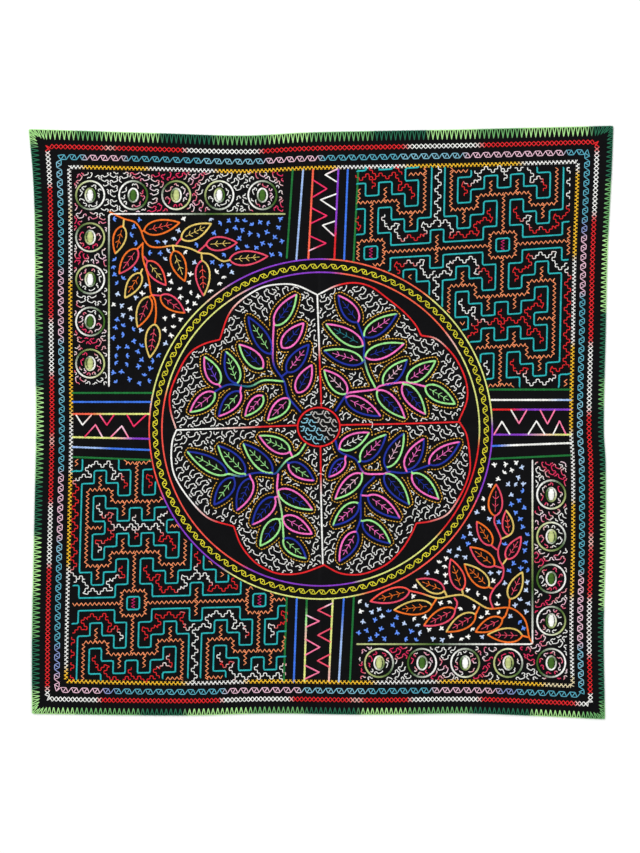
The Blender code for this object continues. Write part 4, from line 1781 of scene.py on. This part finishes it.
def sew_roundels(place, chains, fill, satin, work, number):
    """The band of fret round a leafy corner, with its plain roundels: circles with an oval in the middle."""
    oval, yarns = ROUNDELS["oval"], ROUNDELS["yarns"]
    left, low, right, high = CORNER_LIMITS[number]
    corner = ROUNDELS["inner_corner"]
    inner_line = place([(right - 1.5, corner[1]), corner, (corner[0], low + 1.5)])
    chain_line(chains, inner_line, ["pale_olive", "olive", "white", "white", "olive", "pale_olive", "white"])
    lines, ovals = [inner_line], []
    for turn, centre in enumerate(ROUNDELS["centres"]):
        outline = place(circle_points(centre, ROUNDELS["radius"], 72))
        rim = circle_points((0, 0), 1.0, 40) * (oval["width"], oval["length"])
        frame_line = place(np.array(centre) + rim)
        names = yarns[(turn + number) % len(yarns)]
        for line, colours in ((outline, names), (frame_line, names[::-1])):
            closed_line = np.vstack([line, line[:1]])
            chain_line(chains, closed_line, colours + colours[:1])
            lines.append(closed_line)
        ovals.append(frame_line)
        across = np.linspace(-0.42, 0.42, 8)
        half = (oval["width"] - 2.0) * np.sqrt(1 - (across / 0.5) ** 2 * 0.9)
        rows = np.array(centre) + np.column_stack([np.zeros(8), across * 2 * (oval["length"] - 1.5)])
        side = np.column_stack([half, np.zeros(8)])
        satin.stitches(place(rows - side), place(rows + side), TINTS[names[0]], STRAIGHT_LIFT)
    work.lines += lines
    clear_of = Clearance()
    clear_of.keep_off(lines, 2.4)

    def free(points):
        x, y = place(points).T
        kept = (x < corner[0]) | (y > corner[1])
        kept &= (x > left + 3) & (x < right - 3) & (y > low + 3) & (y < high - 3)
        for shape in ovals:
            kept[kept] = ~inside(points[kept], shape)
        kept[kept] = clear_of.free(points[kept])
        return kept

    def tints(places):
        tone = np.sin(places[:, 0] * 0.043 + number) + np.sin(places[:, 1] * 0.051 + 2 * number)
        return colours_along(ROUNDELS["fill"], np.clip(0.5 + tone * 0.34, 0, 1))

    low_left, high_right = (place([spot])[0] for spot in ((left, low), (right, high)))
    box = (*np.minimum(low_left, high_right), *np.maximum(low_left, high_right))
    rows = FretFill(fill, scattered_seeds(box, 74.0, [0, 40, 90, 130], 20 + number), free, 0.88, 11.8, tints)
    rows.rows(6)
    rows.bare_spots(box, 4.2, 5)


def sew_tufts(place, sewing, work, seed):
    """Small tufts, each of three or four short plump stitches from one point, like a bird's foot."""
    chance = random.Random(seed)
    low, right = CORNER_LIMITS[seed - 1][1:3]
    left, high = ROUNDELS["inner_corner"]
    tries = np.array([
        (chance.uniform(left + 5, right - 4), chance.uniform(low + 4, high - 5)) for _ in range(TUFT_TRIES)
    ])
    away = np.linalg.norm(tries - np.array(RING["centre"]), axis=1)
    tries = place(tries[away > TUFT_OFF_RING])
    tries = tries[work.away(tries, TUFT_OFF_SPRAYS)]
    tufts = tries[:1]
    for spot in tries:
        if np.linalg.norm(tufts - spot, axis=1).min() > TUFT_SPACING:
            tufts = np.vstack([tufts, spot])
    for x, y in tufts:
        tone = math.sin(x * 0.035 + seed) + math.sin(y * 0.041 + 2 * seed) + chance.uniform(-0.35, 0.35)
        name = "white" if tone > 0.35 else ("frost" if tone > -0.25 else "cornflower")
        start = chance.uniform(0, 2 * math.pi)
        root = np.array([x, y]) - 1.3 * np.array([math.cos(start), math.sin(start)])
        for number, turn in enumerate(TUFT_TURNS[:chance.choice((3, 4, 4))]):
            angle = start + turn + chance.uniform(-0.2, 0.2)
            heading = np.array([math.cos(angle), math.sin(angle)])
            reach = chance.uniform(3.3, 4.3) if number < 3 else 2.4
            sewing.stitches(root - heading * 0.3, root + heading * reach, TINTS[name], 0.35 + 0.14 * number)


# Building it

stitched_yarn = yarn_material("yarn_stitched", laid=False)
laid_yarn = yarn_material("yarn_laid", laid=True)
straight = stitch_shape("straight_stitch")
link = link_shape("chain_link")
stitches = stitch_tree()
laid = laid_yarn_tree()
pieces = []


def straight_piece(sewing, name, width, overlap=1.12, pitch=0.0, slant=0.0, spread=0.08):
    pieces.append(sewing.sewn(
        name, stitches, stitch_shape=straight, pitch=pitch * MM, yarn_width=width * MM, overlap=overlap,
        slant=slant, spread=spread, seed=len(pieces), yarn=stitched_yarn,
    ))


def chain_piece(sewing, name, width=1.2, pitch=3.5):
    pieces.append(sewing.sewn(
        name, stitches, stitch_shape=link, pitch=pitch * MM, yarn_width=width * MM, overlap=1.0,
        slant=0.0, spread=0.06, seed=len(pieces), yarn=stitched_yarn,
    ))


def laid_piece(sewing, name, width, pitch=0.0, waist=0.0, sides=4):
    pieces.append(sewing.sewn(
        name, laid, pitch=pitch * MM, yarn_width=width * MM, waist=waist, sides=sides, seed=len(pieces),
        yarn=laid_yarn,
    ))


ground = make_ground()

edge, rim_yarn = Sewing(), Sewing()
sew_edge(edge, rim_yarn)
laid_piece(edge, "edge_stitches", 1.22)
laid_piece(rim_yarn, "edge_yarn", 1.1, waist=0.25, sides=5)

crosses, scroll, herringbone = Sewing(), Sewing(), Sewing()
sew_crosses(crosses)
straight_piece(crosses, "cross_row", 1.25, overlap=1.12)
scroll_path = band_path(BORDERS["scroll"]["inset"])
sew_scroll(
    scroll, scroll_path, band_steps("scroll", scroll_path), BORDERS["scroll"],
    lambda places: band_colours("scroll", places),
)
sew_herringbone(herringbone)
straight_piece(herringbone, "herringbone_row", 1.1, overlap=1.08)

stripes, rings, ring_scroll = Sewing(), Sewing(), Sewing()
for start, end, names in STRIPES:
    chain_line(stripes, [start, end], names)
sew_ring(rings, ring_scroll)
straight_piece(scroll, "scroll_rows", 0.98)
straight_piece(ring_scroll, "ring_scroll", 0.95)
chain_piece(stripes, "stripe_chains", 1.25)
chain_piece(rings, "ring_chains", 0.98, 3.3)

points_work = Sewing()
for foot, tip, other, names in POINTS:
    chain_line(points_work, [foot, tip], names[:len(names) // 2 + 1])
    chain_line(points_work, [tip, other], names[len(names) // 2:])
straight_piece(points_work, "pointed_marks", 1.85, overlap=1.7, pitch=2.4, slant=0.16)

middle = Sewing()
clear = Clearance()
lines = []
for points, names in LOBES + CROSS_LINES:
    smooth = smooth_through(points)
    chain_line(middle, smooth, names)
    lines.append(smooth)
disc_points, _ = ring_points(DISC["centre"], DISC["radii"], 120)
middle.line(disc_points, DISC["tint"], CHAIN_LIFT, closed=True)
lines.append(np.vstack([disc_points, disc_points[:1]]))
chain_piece(middle, "lobe_chains", 1.05, 3.3)
clear.keep_off(lines, 2.0)

spray_chains, fine, echo, sprays = Sewing(), Sewing(), Sewing(), SprayWork()
sew_sprays(spray_chains, fine, sprays, MIDDLE_SPRAYS)
sprays.close()
chain_piece(spray_chains, "spray_chains", 1.2, 4.0)
sew_echo(echo, sprays)
straight_piece(echo, "spray_echo", 1.25)

medallion = np.vstack([smooth_through(points) for points, _ in LOBES])


def free_in_middle(points):
    """Where the white fill may go: in the lobes, off the disc, the sprays and the lines."""
    kept = inside(points, medallion)
    kept[kept] = clear.free(points[kept])
    kept[kept] = ~inside(points[kept], disc_points)
    kept[kept] = sprays.away(points[kept], 5.9)
    return kept


def whites(places):
    """White, in faint waves."""
    tone = 0.96 + 0.04 * np.sin(places[:, 0] * 0.05) * np.sin(places[:, 1] * 0.04)
    return TINTS["white"] * tone[:, None]


white_fill = Sewing()
white_seeds = scattered_seeds((-170, -175, 185, 180), 112.0, [-42, -36, 48, 132, -48], 8)
white_rows = FretFill(white_fill, white_seeds, free_in_middle, 1.0, 13.6, whites)
white_rows.rows()
white_rows.bare_spots((-185, -190, 185, 180), 4.4, 5)
laid_piece(white_fill, "white_fill", 1.08)

disc_fill = Sewing()


def free_in_disc(points):
    """Where the disc's fill may go."""
    kept = inside(points, disc_points)
    kept[kept] = clear.free(points[kept])
    return kept


def disc_tints(places):
    """Sky at the lower left and grey at the upper right."""
    return np.where((places[:, :1] + 0.6 * places[:, 1:] < -6.0), TINTS["sky"], TINTS["grey"])


disc_rows = FretFill(disc_fill, [(-2.4, -5.4, 68.0, 28.0)], free_in_disc, 0.85, 11.6, disc_tints)
disc_rows.rows()
disc_rows.bare_spots((-30, -32, 26, 21), 4.0)
laid_piece(disc_fill, "disc_fill", 1.2)

zigzags, maze_lines, maze_waves = Sewing(), Sewing(), Sewing()
for maze in MAZES:
    sew_maze(maze, zigzags, maze_lines, maze_waves)
straight_piece(zigzags, "maze_zigzags", 1.05)
straight_piece(maze_lines, "maze_lines", 2.0, overlap=1.7, pitch=2.8, slant=0.2)
laid_piece(maze_waves, "maze_waves", 1.2)

corner_chains, corner_fill, satin, tufts = Sewing(), Sewing(), Sewing(), Sewing()
for number, (place, spray) in enumerate(((as_worked, "far_north_west"), (turned_half, "far_south_east"))):
    corner = SprayWork()
    sew_sprays(corner_chains, fine, corner, [spray])
    sew_roundels(place, corner_chains, corner_fill, satin, corner, number)
    corner.close()
    sew_tufts(place, tufts, corner, number + 1)
chain_piece(corner_chains, "corner_chains", 1.12, 3.9)
laid_piece(corner_fill, "corner_fill", 1.1)
straight_piece(satin, "satin_ovals", 2.0, overlap=1.1)
straight_piece(tufts, "tufts", 1.9, overlap=1.1)
straight_piece(fine, "vein_stitches", 0.88)

for shape in (straight, link):
    bpy.data.objects.remove(shape, do_unlink=True)

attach(ground, "root")
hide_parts("cloth")
for piece in pieces:
    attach(piece, "root")


# The floor, light and camera

floor_mesh = bpy.data.meshes.new("floor")
floor_mesh.from_pydata([(-3, -3, 0), (3, -3, 0), (3, 3, 0), (-3, 3, 0)], [], [(0, 1, 2, 3)])
floor_material, _, floor_shader = new_material("floor_white")
floor_shader.inputs["Base Color"].default_value = (0.93, 0.93, 0.93, 1.0)
floor_shader.inputs["Roughness"].default_value = 0.9
floor_mesh.materials.append(floor_material)
add_object("floor", floor_mesh)


def area_light(name, place, size, power):
    data = bpy.data.lights.new(name, "AREA")
    data.size = size
    data.energy = power
    light = add_object(name, data)
    light.location = place
    light.rotation_euler = (-Vector(place)).to_track_quat("-Z", "Y").to_euler()


# Lights as (name, place in m, size in m, power in W)
area_light("key", (-1.3, 1.5, 2.6), 1.2, 58.0)
area_light("fill", (1.6, -0.6, 2.4), 2.2, 26.0)

world = bpy.data.worlds.new("studio")
world.use_nodes = True
world.node_tree.nodes["Background"].inputs["Color"].default_value = (1.0, 1.0, 1.0, 1.0)
world.node_tree.nodes["Background"].inputs["Strength"].default_value = 0.55
bpy.context.scene.world = world
bpy.context.scene.view_settings.view_transform = "Standard"

# The camera looks straight down. The picture's long side spans this many metres of the floor
PHOTO_HEIGHT = 1.0236
LENS = 85.0
SENSOR = 36.0
camera_data = bpy.data.cameras.new("camera")
camera_data.lens = LENS
camera_data.sensor_width = SENSOR
camera_data.clip_end = 20.0
camera = add_object("camera", camera_data)
camera.location = (-0.0012, -0.0048, PHOTO_HEIGHT * LENS / SENSOR)
bpy.context.scene.camera = camera
